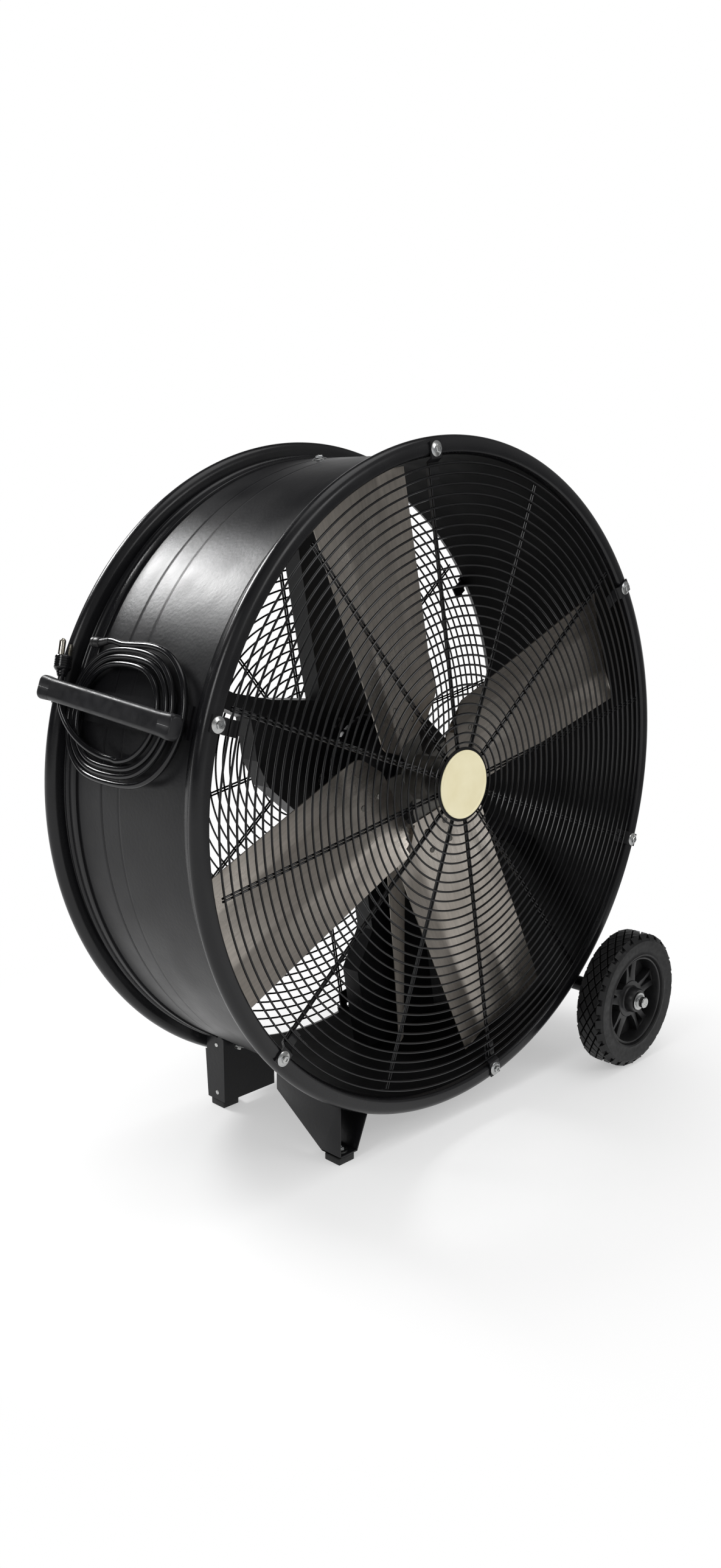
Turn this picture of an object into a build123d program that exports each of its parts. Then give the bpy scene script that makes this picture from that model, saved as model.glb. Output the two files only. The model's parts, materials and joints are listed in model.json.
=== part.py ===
from build123d import *

import os
from math import atan2, cos, degrees, hypot, radians, sin, sqrt

# Wheeled drum fan, in millimetres and degrees. Everything is drawn about the drum's axis, which
# runs along Y, with the outlet grille facing -Y, the wheels at +X and +Z up. The finished pieces
# then move along X, so that the origin is on the floor under the middle of the fan's whole box.

# ---------------------------------------------------------------- fits
FIT = 0.3  # clearance of a piece trimmed to lie along the drum without touching it
RUNNING = 0.05  # radial clearance of a shaft in its bearing

# ---------------------------------------------------------------- drum
DRUM_X = 11.2
BODY_R = 527.0
WALL = 2.0
BEAD_RISE = 28.0  # how far the rolled rim stands out from the drum's wall
BEAD_R = 13.0
BEAD_BEVEL = 7.0
BEAD_SPAN = 355.0
RIM_SIDES = 48
HOOP_T = 4.0
HOOP_W = 44.0
GROUND_GAP = 33.0
SEAM_ANGLE = 98.0
SEAM_Y = 70.0

RIM_R = BODY_R + BEAD_RISE
AXIS_Z = RIM_R + GROUND_GAP
BEAD_Y = BEAD_SPAN / 2
RIM_FACE = BEAD_Y + BEAD_R
HOOP_R = BODY_R + HOOP_T
HOOP_Y = BEAD_Y - HOOP_W
INNER_R = BODY_R - WALL
SPIN = Axis((0, 0, AXIS_Z), (0, 1, 0))
SECTION = Plane(origin=(0, 0, AXIS_Z), x_dir=(0, 1, 0), z_dir=(1, 0, 0))

# ---------------------------------------------------------------- grilles
WIRE = 3.5
RING_FIRST = 69.0
RING_EDGE = 14.2  # from the last ring to the drum's wall
RING_COUNT = 29
RING_SIDES = (8, 8, 12)  # inner, middle and outer thirds of the rings
SPOKE_COUNT = 12
SPOKE_ANGLE = 40.0
SPOKE_GAP = 1.4
SPOKE_INNER = 45.0
HUB_PLATE_R = 62.0
BADGE_R = 57.0
BADGE_T = 2.0
BOLT_ANGLES = (98.5, 34.0, -20.0, -79.6, -138.8, 162.8)
BOLT_OUT = 10.0  # from the drum's wall to the bolts, which clamp the lugs on the rolled rim
LUG_W = 24.0
LUG_T = 2.5
LUG_HOLD = 22.8  # how far a lug reaches inwards under the last rings
LUG_PAST = 12.0  # how far a lug runs past its bolt
LUG_STEP = 9.5

RING_LAST = BODY_R - RING_EDGE
RING_PITCH = (RING_LAST - RING_FIRST) / (RING_COUNT - 1)
BOLT_CIRCLE = BODY_R + BOLT_OUT
LUG_IN = RING_LAST - LUG_HOLD
LUG_OUT = BOLT_CIRCLE + LUG_PAST
LUG_BEND = BODY_R - LUG_STEP

# ---------------------------------------------------------------- fasteners
HEAD_R = 6.6
HEAD_T = 5.0
WASHER_R = 12.0
WASHER_T = 1.6
RIVET_HEAD_R = 5.0
RIVET_HEAD_T = 2.4

# ---------------------------------------------------------------- motor
MOTOR_R = 95.0
MOTOR_WALL = 6.0
MOTOR_SIDES = 24
MOTOR_FRONT = -50.0
MOTOR_LEN = 160.0
BELL_T = 18.0
SHAFT_R = 10.0
SHAFT_NOSE = -150.0
BEARING_R = 23.5
BEARING_W = 14.0
STATOR_BORE = 50.0
STATOR_FRONT = -15.0
STATOR_LEN = 90.0
AIR_GAP = 0.8
MOUNT_Y = 28.0
MOUNT_T = 4.0
MOUNT_RING = 124.0
MOUNT_LIP = 38.0
MOUNT_SHEET = 3.0
MOUNT_IN = 90.0
# The mount's arms as outlines of (along, across) points, across being anticlockwise. The last two
# points of each lie past the drum's wall and are trimmed to it.
POST_ANGLE = 100.8
POST_OUTLINE = ((MOUNT_IN, -87.0), (MOUNT_IN, 87.0), (BODY_R, 87.0), (BODY_R, -87.0))
FOOT_OUTLINE = (
    (BODY_R, 87.0), (MOUNT_IN, 87.0), (MOUNT_IN, -45.0), (300.0, -45.0), (362.0, -96.0), (BODY_R, -96.0))
SIDE_ANGLE = 154.7
SIDE_OUTLINE = (
    (BODY_R, 14.0), (350.0, 14.0), (290.0, 12.0), (272.0, 36.0), (250.0, 70.0), (207.0, 102.0),
    (100.0, 130.0), (MOUNT_IN, -80.0), (155.0, -68.0), (260.0, -32.0), (340.0, -15.0), (BODY_R, -14.0))
# A bright strut in front of the mount's foot: its rolled section as (sideways, backwards) points,
# and its outline in front view.
STRUT_FOLD = ((8.0, -8.0), (45.0, -6.0), (66.0, 1.0), (82.0, 13.0), (92.0, MOUNT_Y - 2.4))
STRUT_OUTLINE = (
    (8.0, -150.0), (92.0, -150.0), (92.0, -347.0), (72.0, -BODY_R), (50.5, -BODY_R), (31.0, -347.0))
STRUT_T = 2.0
BOX_SIZE = (70.0, 52.0, 18.0)

MOTOR_BACK = MOTOR_FRONT + MOTOR_LEN

# ---------------------------------------------------------------- rotor
BLADE_COUNT = 4
BLADE_ANGLE = 22.4
TIP_GAP = 13.0
BLADE_ROOT_R = 72.0
BLADE_T = 2.5
BLADE_SHOULDER = 112.0
BLADE_ROOT_W = 96.0
BLADE_FLAT_R = 160.0  # the root is folded flat out to here, and the blade twists from here to its tip
# Across a blade from its trailing edge to its leading edge: sideways and forwards.
ROOT_SECTION = ((-98.5, 88.0), (-50.0, 88.0), (33.0, 105.0), (90.5, 128.0))
TIP_SECTION = ((-113.5, 134.0), (-57.0, 122.0), (38.0, 125.0), (105.5, 139.0))
HUB_R = 42.0
HUB_BACK = -78.0
HUB_FRONT = -138.0
ARM_T = 5.0
ARM_W = 60.0
ARM_R = 154.0
RIVET_RADII = (100.0, 138.0)
RIVET_SIDE = 20.0

# ---------------------------------------------------------------- wheels and axle
WHEEL_R = 127.0
WHEEL_W = 57.0
WHEEL_INSET = 124.0  # from the drum's wall, level with its axis, in to the axle
WHEEL_FACE = 287.6
WHEEL_SIDES = 24
SHOULDER = 6.5
TYRE_IN = 84.0
HUB_RING = 9.0
HUB_RING_W = 46.0
WHEEL_SPOKES = 5
WHEEL_SPOKE_W = 34.0
WHEEL_SPOKE_T = 24.0
WHEEL_SLOT_W = 12.0
BOSS_R = 23.0
AXLE_R = 8.0
AXLE_OUT = 300.5
SLEEVE_R = 14.0
EAR_Y = 122.0
EAR_T = 5.0
EAR_BASE = 66.0
EAR_NOSE = 22.0
SADDLE_T = 4.0
SADDLE_ARC = 17.0
SADDLE_W = 36.0
NUT_R = 14.0
NUT_T = 10.0

WHEEL_X = BODY_R - WHEEL_INSET
WHEEL_Z = WHEEL_R
AXLE_ANGLE = degrees(atan2(WHEEL_Z - AXIS_Z, WHEEL_X))
AXLE_REACH = hypot(WHEEL_Z - AXIS_Z, WHEEL_X)
WHEEL_BACK = WHEEL_FACE - WHEEL_W

# ---------------------------------------------------------------- legs
SHEET = 3.0
PAD_H = 12.0
PAD = 34.0
LEG_INSET = 261.0  # from the drum's wall, level with its axis, in to the legs
LEG_LAP = 42.0  # how far a leg's sheet runs up past the drum before it is trimmed to it
TOE = 40.0
FRONT_LEG_Y = -170.0
FRONT_TOE_Y = -128.0
FRONT_INNER_Y = -20.0
FRONT_NOTCH = 84.0
FRONT_PLATE_W = 70.0
REAR_LEG_Y = 118.0
REAR_TOE_Y = 163.0
REAR_TOP_Y = 172.0
REAR_WEB_W = 116.0
FLANGE_ARC = 9.0

LEG_X = LEG_INSET - BODY_R
LEG_TOP = AXIS_Z - sqrt(BODY_R**2 - LEG_X**2) + LEG_LAP
FRONT_PLATE_TOP = LEG_X + FRONT_PLATE_W
REAR_WEB_X = LEG_X + REAR_WEB_W
LEG_ANGLE = -90 - degrees(atan2(-LEG_X, sqrt(BODY_R**2 - LEG_X**2)))
WEB_ANGLE = -90 - degrees(atan2(-REAR_WEB_X, sqrt(BODY_R**2 - REAR_WEB_X**2)))

# ---------------------------------------------------------------- handle
HANDLE_ANGLE = 162.8
HANDLE_TILT = 4.3
HANDLE_DROP = -4.5
BAR_LEN = 334.0
BAR_H = 34.0
BAR_T = 20.0
BAR_STAND = 48.0  # from the drum's wall to the back of the bar
BAR_ROUND = 7.0
CAP_LEN = 30.0
CAP_SWELL = 0.8
POST_AT = 104.5
POST_W = 12.0
POST_H = 24.0
BASE_T = 4.0
BASE_LEN = 250.0
BASE_ARC = 5.2

BAR_IN = BODY_R + BAR_STAND
OUT = Vector(cos(radians(HANDLE_ANGLE)), 0, sin(radians(HANDLE_ANGLE)))
UP = Vector(sin(radians(HANDLE_ANGLE)), 0, -cos(radians(HANDLE_ANGLE)))
FORWARD = Vector(0, -1, 0)
ALONG = FORWARD * cos(radians(HANDLE_TILT)) - UP * sin(radians(HANDLE_TILT))

# ---------------------------------------------------------------- power cord
CORD_D = 9.5
CORD_SIDES = 4
COIL_STAND = 11.0  # from the drum's wall to the cord's middle
COIL_TOP = 92.0
COIL_BOTTOM = -108.0
COIL_STEP = 10.5
COIL_BACK = -59.25
COIL_FRONTS = (118.0, 91.0, 78.0, 57.0)
COIL_OUT = BODY_R + COIL_STAND
LEAD = tuple((forward, up, COIL_OUT) for forward, up in (
    (-130, 90), (-112, 90), (-88, 96.5), (-62, 92), (-42, 92)))
GLAND_R = 8.5
GLAND_LEN = 18.0
GLAND_FOOT = 15.0
COLLAR_R = 8.0
COLLAR_L = 8.0
PLUG_R = 13.0
PLUG_L = 24.0
PLUG_TILT = 8.0
PLUG_BASE = (-153.0, 28.0, COIL_OUT + 29.0)
TAIL = ((-52, -76.5, COIL_OUT), (-92, -66, COIL_OUT + 8.0), (-128, -43, COIL_OUT + 18.0))
TAIL_RUN = 36.0
PIN_R = 5.0
PIN_L = 27.0
BALL_R = 4.2
FLAT_PIN = (5.0, 3.0, 18.0)

# ---------------------------------------------------------------- rear switch
SWITCH_W = 84.0
SWITCH_H = 60.0
SWITCH_D = 34.0
SWITCH_WALL = 3.0
KNOB_R = 17.0
KNOB_T = 14.0
KNOB_GAP = 0.6
STEM_R = 4.0

pieces = {}


def keep(name, piece):
    """Label one sub-part, set it in the shared frame and remember it for the export."""
    placed = Pos(DRUM_X, 0, 0) * piece
    placed.label = name
    pieces[name] = placed


def opposite(name, piece):
    """The same piece at the other end of the drum."""
    with BuildPart() as twin:
        mirror(piece, about=Plane.XZ)
    keep(name, twin.part)


def facing(y, z=AXIS_Z):
    """Plane across the drum at y, seen from the front: +X right, +Z up, its normal forwards."""
    return Plane(origin=(0, y, z), x_dir=(1, 0, 0), z_dir=(0, -1, 0))


def lengthways(x, z=0.0):
    """Plane along the drum at x: local x is Y, local y is Z, its normal +X."""
    return Plane(origin=(x, 0, z), x_dir=(0, 1, 0), z_dir=(1, 0, 0))


def outward(angle):
    """Unit vector away from the drum's axis at an angle, anticlockwise from +X seen from the front."""
    return Vector(cos(radians(angle)), 0, sin(radians(angle)))


def across(angle):
    """Unit vector anticlockwise round the drum's axis at an angle."""
    return Vector(-sin(radians(angle)), 0, cos(radians(angle)))


def on_drum(angle, y, radius):
    """Plane touching a cylinder about the drum's axis, its normal outwards."""
    origin = Vector(0, y, AXIS_Z) + outward(angle) * radius
    return Plane(origin=origin, x_dir=(0, 1, 0), z_dir=outward(angle))


def beside(forward, up, out):
    """Point near the handle: forwards, up along the drum, and out from the drum's axis."""
    return Vector(0, 0, AXIS_Z) + FORWARD * forward + UP * up + OUT * out


def sector(r_in, r_out, start, sweep_angle):
    """Face of a ring sector about the drum's axis."""
    with BuildSketch() as face:
        with BuildLine():
            inner = CenterArc((0, 0), r_in, start, sweep_angle)
            outer = CenterArc((0, 0), r_out, start, sweep_angle)
            Line(inner @ 0, outer @ 0)
            Line(inner @ 1, outer @ 1)
        make_face()
    return face.sketch


def drum_solid(gap):
    """The drum as one solid with a gap all round, to trim what stands against it."""
    with BuildPart() as solid:
        with BuildSketch(SECTION):
            with Locations((0, (BODY_R + gap) / 2)):
                Rectangle(BEAD_SPAN, BODY_R + gap)
            with Locations((0, (HOOP_R + gap) / 2)):
                Rectangle(BEAD_SPAN, HOOP_R + gap)
                Rectangle(2 * (HOOP_Y - gap), HOOP_R + gap, mode=Mode.SUBTRACT)
            with Locations((0, (BODY_R + gap) / 2)):
                Rectangle(BEAD_SPAN, BODY_R + gap)
            for side in (-1, 1):
                with Locations((side * BEAD_Y, (RIM_R + gap) / 2)):
                    Rectangle(2 * (BEAD_R + gap), RIM_R + gap)
        revolve(axis=SPIN)
    return solid.part


TOUCHING = drum_solid(0.0)
CLEAR = drum_solid(FIT)


def bolts(seats):
    """Hexagon heads on washers. Each seat is a plane on the clamped face, its normal outwards."""
    with BuildPart() as group:
        for seat in seats:
            with BuildSketch(seat):
                RegularPolygon(WASHER_R, 6)
            extrude(amount=WASHER_T)
            with BuildSketch(seat.offset(WASHER_T)):
                RegularPolygon(HEAD_R, 6)
            extrude(amount=HEAD_T)
    return group.part


# ---------------------------------------------------------------- where the bolts sit
LUG_FACE = -RIM_FACE - LUG_T
grille_seats = [
    Plane(origin=Vector(0, LUG_FACE, AXIS_Z) + outward(a) * BOLT_CIRCLE, x_dir=outward(a), z_dir=(0, -1, 0))
    for a in BOLT_ANGLES
]
SADDLE_Y = EAR_Y - EAR_T / 2 - SADDLE_W / 2 + 12.0
SADDLE_STEP = degrees(26.0 / BODY_R)
saddle_seats = [
    on_drum(AXLE_ANGLE + turn, side * (SADDLE_Y - 9.0), BODY_R + SADDLE_T)
    for side in (-1, 1) for turn in (-SADDLE_STEP, SADDLE_STEP)
]
front_leg_seats = [on_drum(LEG_ANGLE + 5.0, y, BODY_R + SHEET) for y in (-110.0, -45.0)]
rear_leg_seats = [on_drum(LEG_ANGLE + t, REAR_LEG_Y - 14.0, BODY_R + SHEET) for t in (3.0, 10.5)]
seam_seats = [on_drum(SEAM_ANGLE, SEAM_Y, BODY_R)]

# ---------------------------------------------------------------- drum
with BuildPart() as drum_shell:
    with BuildSketch(SECTION):
        with Locations((0, BODY_R - WALL / 2)):
            Rectangle(BEAD_SPAN, WALL)
    revolve(axis=SPIN)
keep("drum_shell", drum_shell.part)

# The band under the rolled rim, then the rim itself with both edges eased.
BEAD_BACK = -BEAD_Y + BEAD_R
with BuildPart() as front_rim:
    with BuildSketch(facing(-HOOP_Y)):
        RegularPolygon(HOOP_R, RIM_SIDES)
    extrude(amount=-HOOP_Y - BEAD_BACK)
    with BuildSketch(facing(BEAD_BACK - BEAD_BEVEL)):
        RegularPolygon(RIM_R, RIM_SIDES)
    extrude(amount=2 * (BEAD_R - BEAD_BEVEL))
    for edge, way in ((BEAD_BACK, 1), (-RIM_FACE, -1)):
        with BuildSketch(facing(edge)):
            RegularPolygon(RIM_R - BEAD_BEVEL, RIM_SIDES)
        with BuildSketch(facing(edge - way * BEAD_BEVEL)):
            RegularPolygon(RIM_R, RIM_SIDES)
        loft(ruled=True)
    with BuildSketch(facing(0)):
        Circle(BODY_R)
    extrude(amount=BEAD_SPAN, mode=Mode.SUBTRACT)
keep("front_rim", front_rim.part)
opposite("rear_rim", front_rim.part)

# ---------------------------------------------------------------- grilles
with BuildPart() as rings:
    with BuildSketch(facing(-RIM_FACE + WIRE - 0.5)):
        for k in reversed(range(RING_COUNT)):
            radius = RING_FIRST + RING_PITCH * k
            sides = RING_SIDES[3 * k // RING_COUNT]
            # Hoops of few sides, turned to have corners on the spokes.
            RegularPolygon(radius + WIRE / 2, sides, rotation=SPOKE_ANGLE)
            RegularPolygon(radius - WIRE / 2, sides, rotation=SPOKE_ANGLE, mode=Mode.SUBTRACT)
    extrude(amount=WIRE)
keep("front_grille_rings", rings.part)
opposite("rear_grille_rings", rings.part)

SPOKE_FACE = -RIM_FACE + WIRE - 0.5
SPOKE_LEN = RING_LAST + 2.0 - SPOKE_INNER
with BuildPart() as spokes:
    with BuildSketch(facing(SPOKE_FACE + WIRE)):
        for k in range(SPOKE_COUNT):
            turn = SPOKE_ANGLE + 360 / SPOKE_COUNT * k
            for side in (-1, 1):
                offset_v = side * (WIRE + SPOKE_GAP) / 2
                spot = Vector(SPOKE_INNER + SPOKE_LEN / 2, offset_v).rotate(Axis.Z, turn)
                with Locations(Location((spot.X, spot.Y, 0), (0, 0, turn))):
                    Rectangle(SPOKE_LEN, WIRE)
    extrude(amount=WIRE)
keep("front_grille_spokes", spokes.part)
opposite("rear_grille_spokes", spokes.part)

with BuildPart() as lugs:
    for a in BOLT_ANGLES:
        back, face = -(SPOKE_FACE + WIRE), RIM_FACE
        lug_plane = Plane(origin=(0, 0, AXIS_Z), x_dir=outward(a), z_dir=across(a))
        with BuildSketch(lug_plane.offset(-LUG_W / 2)):
            with BuildLine():
                # Local y of this plane runs to -Y or +Y; the profile is written as (radius, forward).
                sign = -1 if lug_plane.y_dir.Y > 0 else 1
                Polyline(*[(r, sign * f) for r, f in (
                    (LUG_IN, back), (LUG_BEND - 1.5, back), (LUG_BEND + 5, face + LUG_T),
                    (LUG_OUT, face + LUG_T), (LUG_OUT, face), (LUG_BEND + 7.5, face),
                    (LUG_BEND + 1, back - LUG_T), (LUG_IN, back - LUG_T))], close=True)
            make_face()
        extrude(amount=LUG_W)
keep("front_grille_lugs", lugs.part)
opposite("rear_grille_lugs", lugs.part)

grille_bolts = bolts(grille_seats)
keep("front_grille_bolts", grille_bolts)
opposite("rear_grille_bolts", grille_bolts)

with BuildPart() as hub_plate:
    with BuildSketch(facing(SPOKE_FACE)):
        RegularPolygon(HUB_PLATE_R, 24)
    extrude(amount=WIRE)
keep("front_hub_plate", hub_plate.part)
with BuildPart() as badge:
    with BuildSketch(facing(SPOKE_FACE - WIRE)):
        RegularPolygon(BADGE_R, 32)
    extrude(amount=BADGE_T)
keep("front_badge", badge.part)
opposite("rear_hub_plate", hub_plate.part)

# ---------------------------------------------------------------- rear switch
SWITCH_Y = -SPOKE_FACE + WIRE
with BuildPart() as switch_box:
    with BuildSketch(facing(SWITCH_Y)):
        Rectangle(SWITCH_W, SWITCH_H)
        chamfer(vertices(), 6.0)
    extrude(amount=-SWITCH_D)
    with BuildSketch(facing(SWITCH_Y)):
        Rectangle(SWITCH_W - 2 * SWITCH_WALL, SWITCH_H - 2 * SWITCH_WALL)
    extrude(amount=-(SWITCH_D - SWITCH_WALL), mode=Mode.SUBTRACT)
    with BuildSketch(facing(SWITCH_Y)):
        Circle(STEM_R + RUNNING)
    extrude(amount=-SWITCH_D, mode=Mode.SUBTRACT)
keep("switch_box", switch_box.part)

with BuildPart() as speed_knob:
    with BuildSketch(facing(SWITCH_Y + SWITCH_D + KNOB_GAP)):
        RegularPolygon(KNOB_R, 12)
    extrude(amount=-KNOB_T * 0.6)
    with BuildSketch(facing(SWITCH_Y + SWITCH_D + KNOB_GAP)):
        Rectangle(9.0, 2 * KNOB_R - 3.0)
    extrude(amount=-KNOB_T)
    with BuildSketch(facing(SWITCH_Y + SWITCH_D + KNOB_GAP)):
        Circle(STEM_R)
    extrude(amount=KNOB_GAP + SWITCH_WALL + 6.0)
keep("speed_knob", speed_knob.part)

# ---------------------------------------------------------------- motor
with BuildPart() as motor_housing:
    with BuildSketch(facing(MOTOR_FRONT + BELL_T)):
        RegularPolygon(MOTOR_R, MOTOR_SIDES)
        RegularPolygon(MOTOR_R - MOTOR_WALL, MOTOR_SIDES, mode=Mode.SUBTRACT)
    extrude(amount=-(MOTOR_LEN - 2 * BELL_T))
keep("motor_housing", motor_housing.part)


def bell(y, bore_end):
    """End plate of the motor from y backwards, with a bearing's seat open on its inner side."""
    with BuildPart() as plate:
        with BuildSketch(facing(y)):
            RegularPolygon(MOTOR_R, MOTOR_SIDES)
            RegularPolygon(SHAFT_R + 2.0, 12, mode=Mode.SUBTRACT)
        extrude(amount=-BELL_T)
        with BuildSketch(facing(bore_end)):
            RegularPolygon(BEARING_R, 16)
        extrude(amount=-BEARING_W, mode=Mode.SUBTRACT)
    return plate.part


FRONT_SEAT = MOTOR_FRONT + BELL_T - BEARING_W
REAR_SEAT = MOTOR_BACK - BELL_T
keep("motor_front_bell", bell(MOTOR_FRONT, FRONT_SEAT))
keep("motor_rear_bell", bell(REAR_SEAT, REAR_SEAT))

with BuildPart() as bearings:
    for seat in (FRONT_SEAT, REAR_SEAT):
        with BuildSketch(facing(seat)):
            RegularPolygon(BEARING_R, 16)
            Circle(SHAFT_R + RUNNING, mode=Mode.SUBTRACT)
        extrude(amount=-BEARING_W)
keep("motor_bearings", bearings.part)

with BuildPart() as stator:
    with BuildSketch(facing(STATOR_FRONT)):
        RegularPolygon(MOTOR_R - MOTOR_WALL, MOTOR_SIDES)
        RegularPolygon(STATOR_BORE, MOTOR_SIDES, major_radius=False, mode=Mode.SUBTRACT)
    extrude(amount=-STATOR_LEN)
keep("stator_core", stator.part)

with BuildPart() as terminal_box:
    width, length, height = BOX_SIZE
    with BuildSketch(facing(MOUNT_Y + MOUNT_T + 3.0)):
        with Locations((0, -MOTOR_R - height / 2 + 8.0)):
            Rectangle(width, height + 16.0)
            chamfer(vertices(), 3.0)
        RegularPolygon(MOTOR_R, MOTOR_SIDES, mode=Mode.SUBTRACT)
    extrude(amount=-length)
keep("terminal_box", terminal_box.part)


def turned(outline, angle):
    """Points given along and across a direction, turned to that angle about the drum's axis."""
    c, n = cos(radians(angle)), sin(radians(angle))
    return [(along * c - side * n, along * n + side * c) for along, side in outline]


# The mount: a sheet plate round the motor with arms out to the drum's wall, its edges folded back.
with BuildPart() as motor_mount:
    with BuildSketch(facing(MOUNT_Y)) as plate:
        Polygon(*turned(POST_OUTLINE, POST_ANGLE), align=None)
        Polygon(*turned(FOOT_OUTLINE, POST_ANGLE + 180), align=None)
        for turn in (0, 180):
            Polygon(*turned(SIDE_OUTLINE, SIDE_ANGLE + turn), align=None)
        RegularPolygon(MOUNT_RING, MOTOR_SIDES)
        Circle(INNER_R, mode=Mode.INTERSECT)
    extrude(amount=-MOUNT_T)
    with BuildSketch(facing(MOUNT_Y)) as lips:
        add(plate.sketch_local)
        offset(amount=-MOUNT_SHEET, kind=Kind.INTERSECTION, mode=Mode.SUBTRACT)
    extrude(amount=-MOUNT_LIP)
    with BuildSketch(facing(MOUNT_Y)):
        RegularPolygon(MOTOR_R, MOTOR_SIDES)
    extrude(amount=-MOUNT_LIP, mode=Mode.SUBTRACT)
keep("motor_mount", motor_mount.part)

with BuildPart() as mount_strut:
    with BuildSketch(Plane(origin=(0, 0, AXIS_Z))):
        Polygon(*STRUT_FOLD, *[(x, y + STRUT_T) for x, y in reversed(STRUT_FOLD)], align=None)
    extrude(amount=-BODY_R)
    with BuildSketch(facing(BODY_R)):
        Polygon(*STRUT_OUTLINE, align=None)
        Circle(INNER_R, mode=Mode.INTERSECT)
    extrude(amount=2 * BODY_R, mode=Mode.INTERSECT)
keep("mount_strut", mount_strut.part)

MOUNT_SEAT_R = MOTOR_R + 14.5
mount_seats = [
    Plane(origin=Vector(0, MOUNT_Y, AXIS_Z) + outward(a) * MOUNT_SEAT_R, x_dir=outward(a), z_dir=(0, -1, 0))
    for a in (131.0, 184.0, 311.0, 4.0)
]
keep("motor_mount_bolts", bolts(mount_seats))

# ---------------------------------------------------------------- rotor
with BuildPart() as shaft:
    with BuildSketch(facing(SHAFT_NOSE)):
        Circle(SHAFT_R)
    extrude(amount=-(MOTOR_BACK - 2.0 - SHAFT_NOSE))
keep("shaft", shaft.part)

with BuildPart() as armature:
    with BuildSketch(facing(STATOR_FRONT)):
        RegularPolygon(STATOR_BORE - AIR_GAP, MOTOR_SIDES)
        RegularPolygon(SHAFT_R, 12, major_radius=False, mode=Mode.SUBTRACT)
    extrude(amount=-STATOR_LEN)
keep("armature", armature.part)

(_, _), (mid_a, mid_fa), (mid_b, mid_fb), (_, _) = ROOT_SECTION
MID_SLOPE = (mid_fb - mid_fa) / (mid_b - mid_a)
MID_FACE = mid_fa - MID_SLOPE * mid_a
BLADE_TIP_R = BODY_R - TIP_GAP
BLADE_ANGLES = [BLADE_ANGLE + 360 / BLADE_COUNT * k for k in range(BLADE_COUNT)]
rivet_seats = []
for a in BLADE_ANGLES:
    normal = (across(a) * -MID_SLOPE + FORWARD).normalized()
    for radius in RIVET_RADII:
        for side in (-1, 1):
            v = side * RIVET_SIDE
            origin = Vector(0, 0, AXIS_Z) + outward(a) * radius + across(a) * v
            origin += FORWARD * (MID_FACE + MID_SLOPE * v)
            rivet_seats.append(Plane(origin=origin, x_dir=outward(a), z_dir=normal))


def band(profile, depth):
    """Closed outline of a thin strip: the profile and the same profile further back."""
    return [*profile, *[(v, f - depth) for v, f in reversed(profile)]]


def blade_section(radius, points):
    """Outline of the blade's sheet across its length at a radius."""
    at = Vector(0, 0, AXIS_Z) + outward(BLADE_ANGLE) * radius
    with BuildSketch(Plane(origin=at, x_dir=across(BLADE_ANGLE), z_dir=outward(BLADE_ANGLE))) as section:
        with BuildLine():
            Polyline(*band(points, BLADE_T), close=True)
        make_face()
    return section.sketch


with BuildPart() as blade:
    extrude(blade_section(BLADE_ROOT_R, ROOT_SECTION), amount=BLADE_FLAT_R - BLADE_ROOT_R)
    loft([blade_section(BLADE_FLAT_R, ROOT_SECTION).face(), blade_section(BLADE_TIP_R, TIP_SECTION).face()],
         ruled=True)
    with BuildSketch(facing(0)):
        half = -ROOT_SECTION[0][0]
        with Locations(Location((0, 0, 0), (0, 0, BLADE_ANGLE))):
            Polygon(
                (BLADE_ROOT_R, -BLADE_ROOT_W / 2), (BLADE_SHOULDER - 8, -half + 8),
                (BLADE_SHOULDER + 6, -half - 1), (BLADE_TIP_R, -half - 30), (BLADE_TIP_R + 8, half + 30),
                (BLADE_SHOULDER + 6, half + 1), (BLADE_SHOULDER - 8, half - 8),
                (BLADE_ROOT_R, BLADE_ROOT_W / 2), align=None)
        Circle(BLADE_TIP_R, mode=Mode.INTERSECT)
    extrude(amount=170.0, mode=Mode.INTERSECT)

with BuildPart() as blades:
    for k in range(BLADE_COUNT):
        add(blade.part.rotate(SPIN, 360 / BLADE_COUNT * k))
keep("blades", blades.part)

with BuildPart() as fan_hub:
    with BuildSketch(facing(HUB_BACK)):
        RegularPolygon(HUB_R, 24)
    extrude(amount=HUB_BACK - HUB_FRONT)
    for a in BLADE_ANGLES:
        middle = [(v, MID_FACE + MID_SLOPE * v - BLADE_T) for v in (-ARM_W / 2, ARM_W / 2)]
        root = Vector(0, 0, AXIS_Z) + outward(a) * (HUB_R / 2)
        with BuildSketch(Plane(origin=root, x_dir=across(a), z_dir=outward(a))):
            with BuildLine():
                Polyline(*band(middle, ARM_T), close=True)
            make_face()
        extrude(amount=ARM_R - HUB_R / 2)
    with BuildSketch(facing(HUB_BACK + 1.0)):
        RegularPolygon(SHAFT_R, 12, major_radius=False)
    extrude(amount=HUB_BACK - HUB_FRONT + 2.0, mode=Mode.SUBTRACT)
keep("fan_hub", fan_hub.part)

with BuildPart() as rivets:
    for seat in rivet_seats:
        with BuildSketch(seat):
            RegularPolygon(RIVET_HEAD_R, 5)
        extrude(amount=RIVET_HEAD_T)
keep("blade_rivets", rivets.part)

# ---------------------------------------------------------------- wheels
def wheel_plane(y):
    """Plane across the axle at y, its normal forwards."""
    return Plane(origin=(WHEEL_X, y, WHEEL_Z), x_dir=(1, 0, 0), z_dir=(0, -1, 0))


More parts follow.
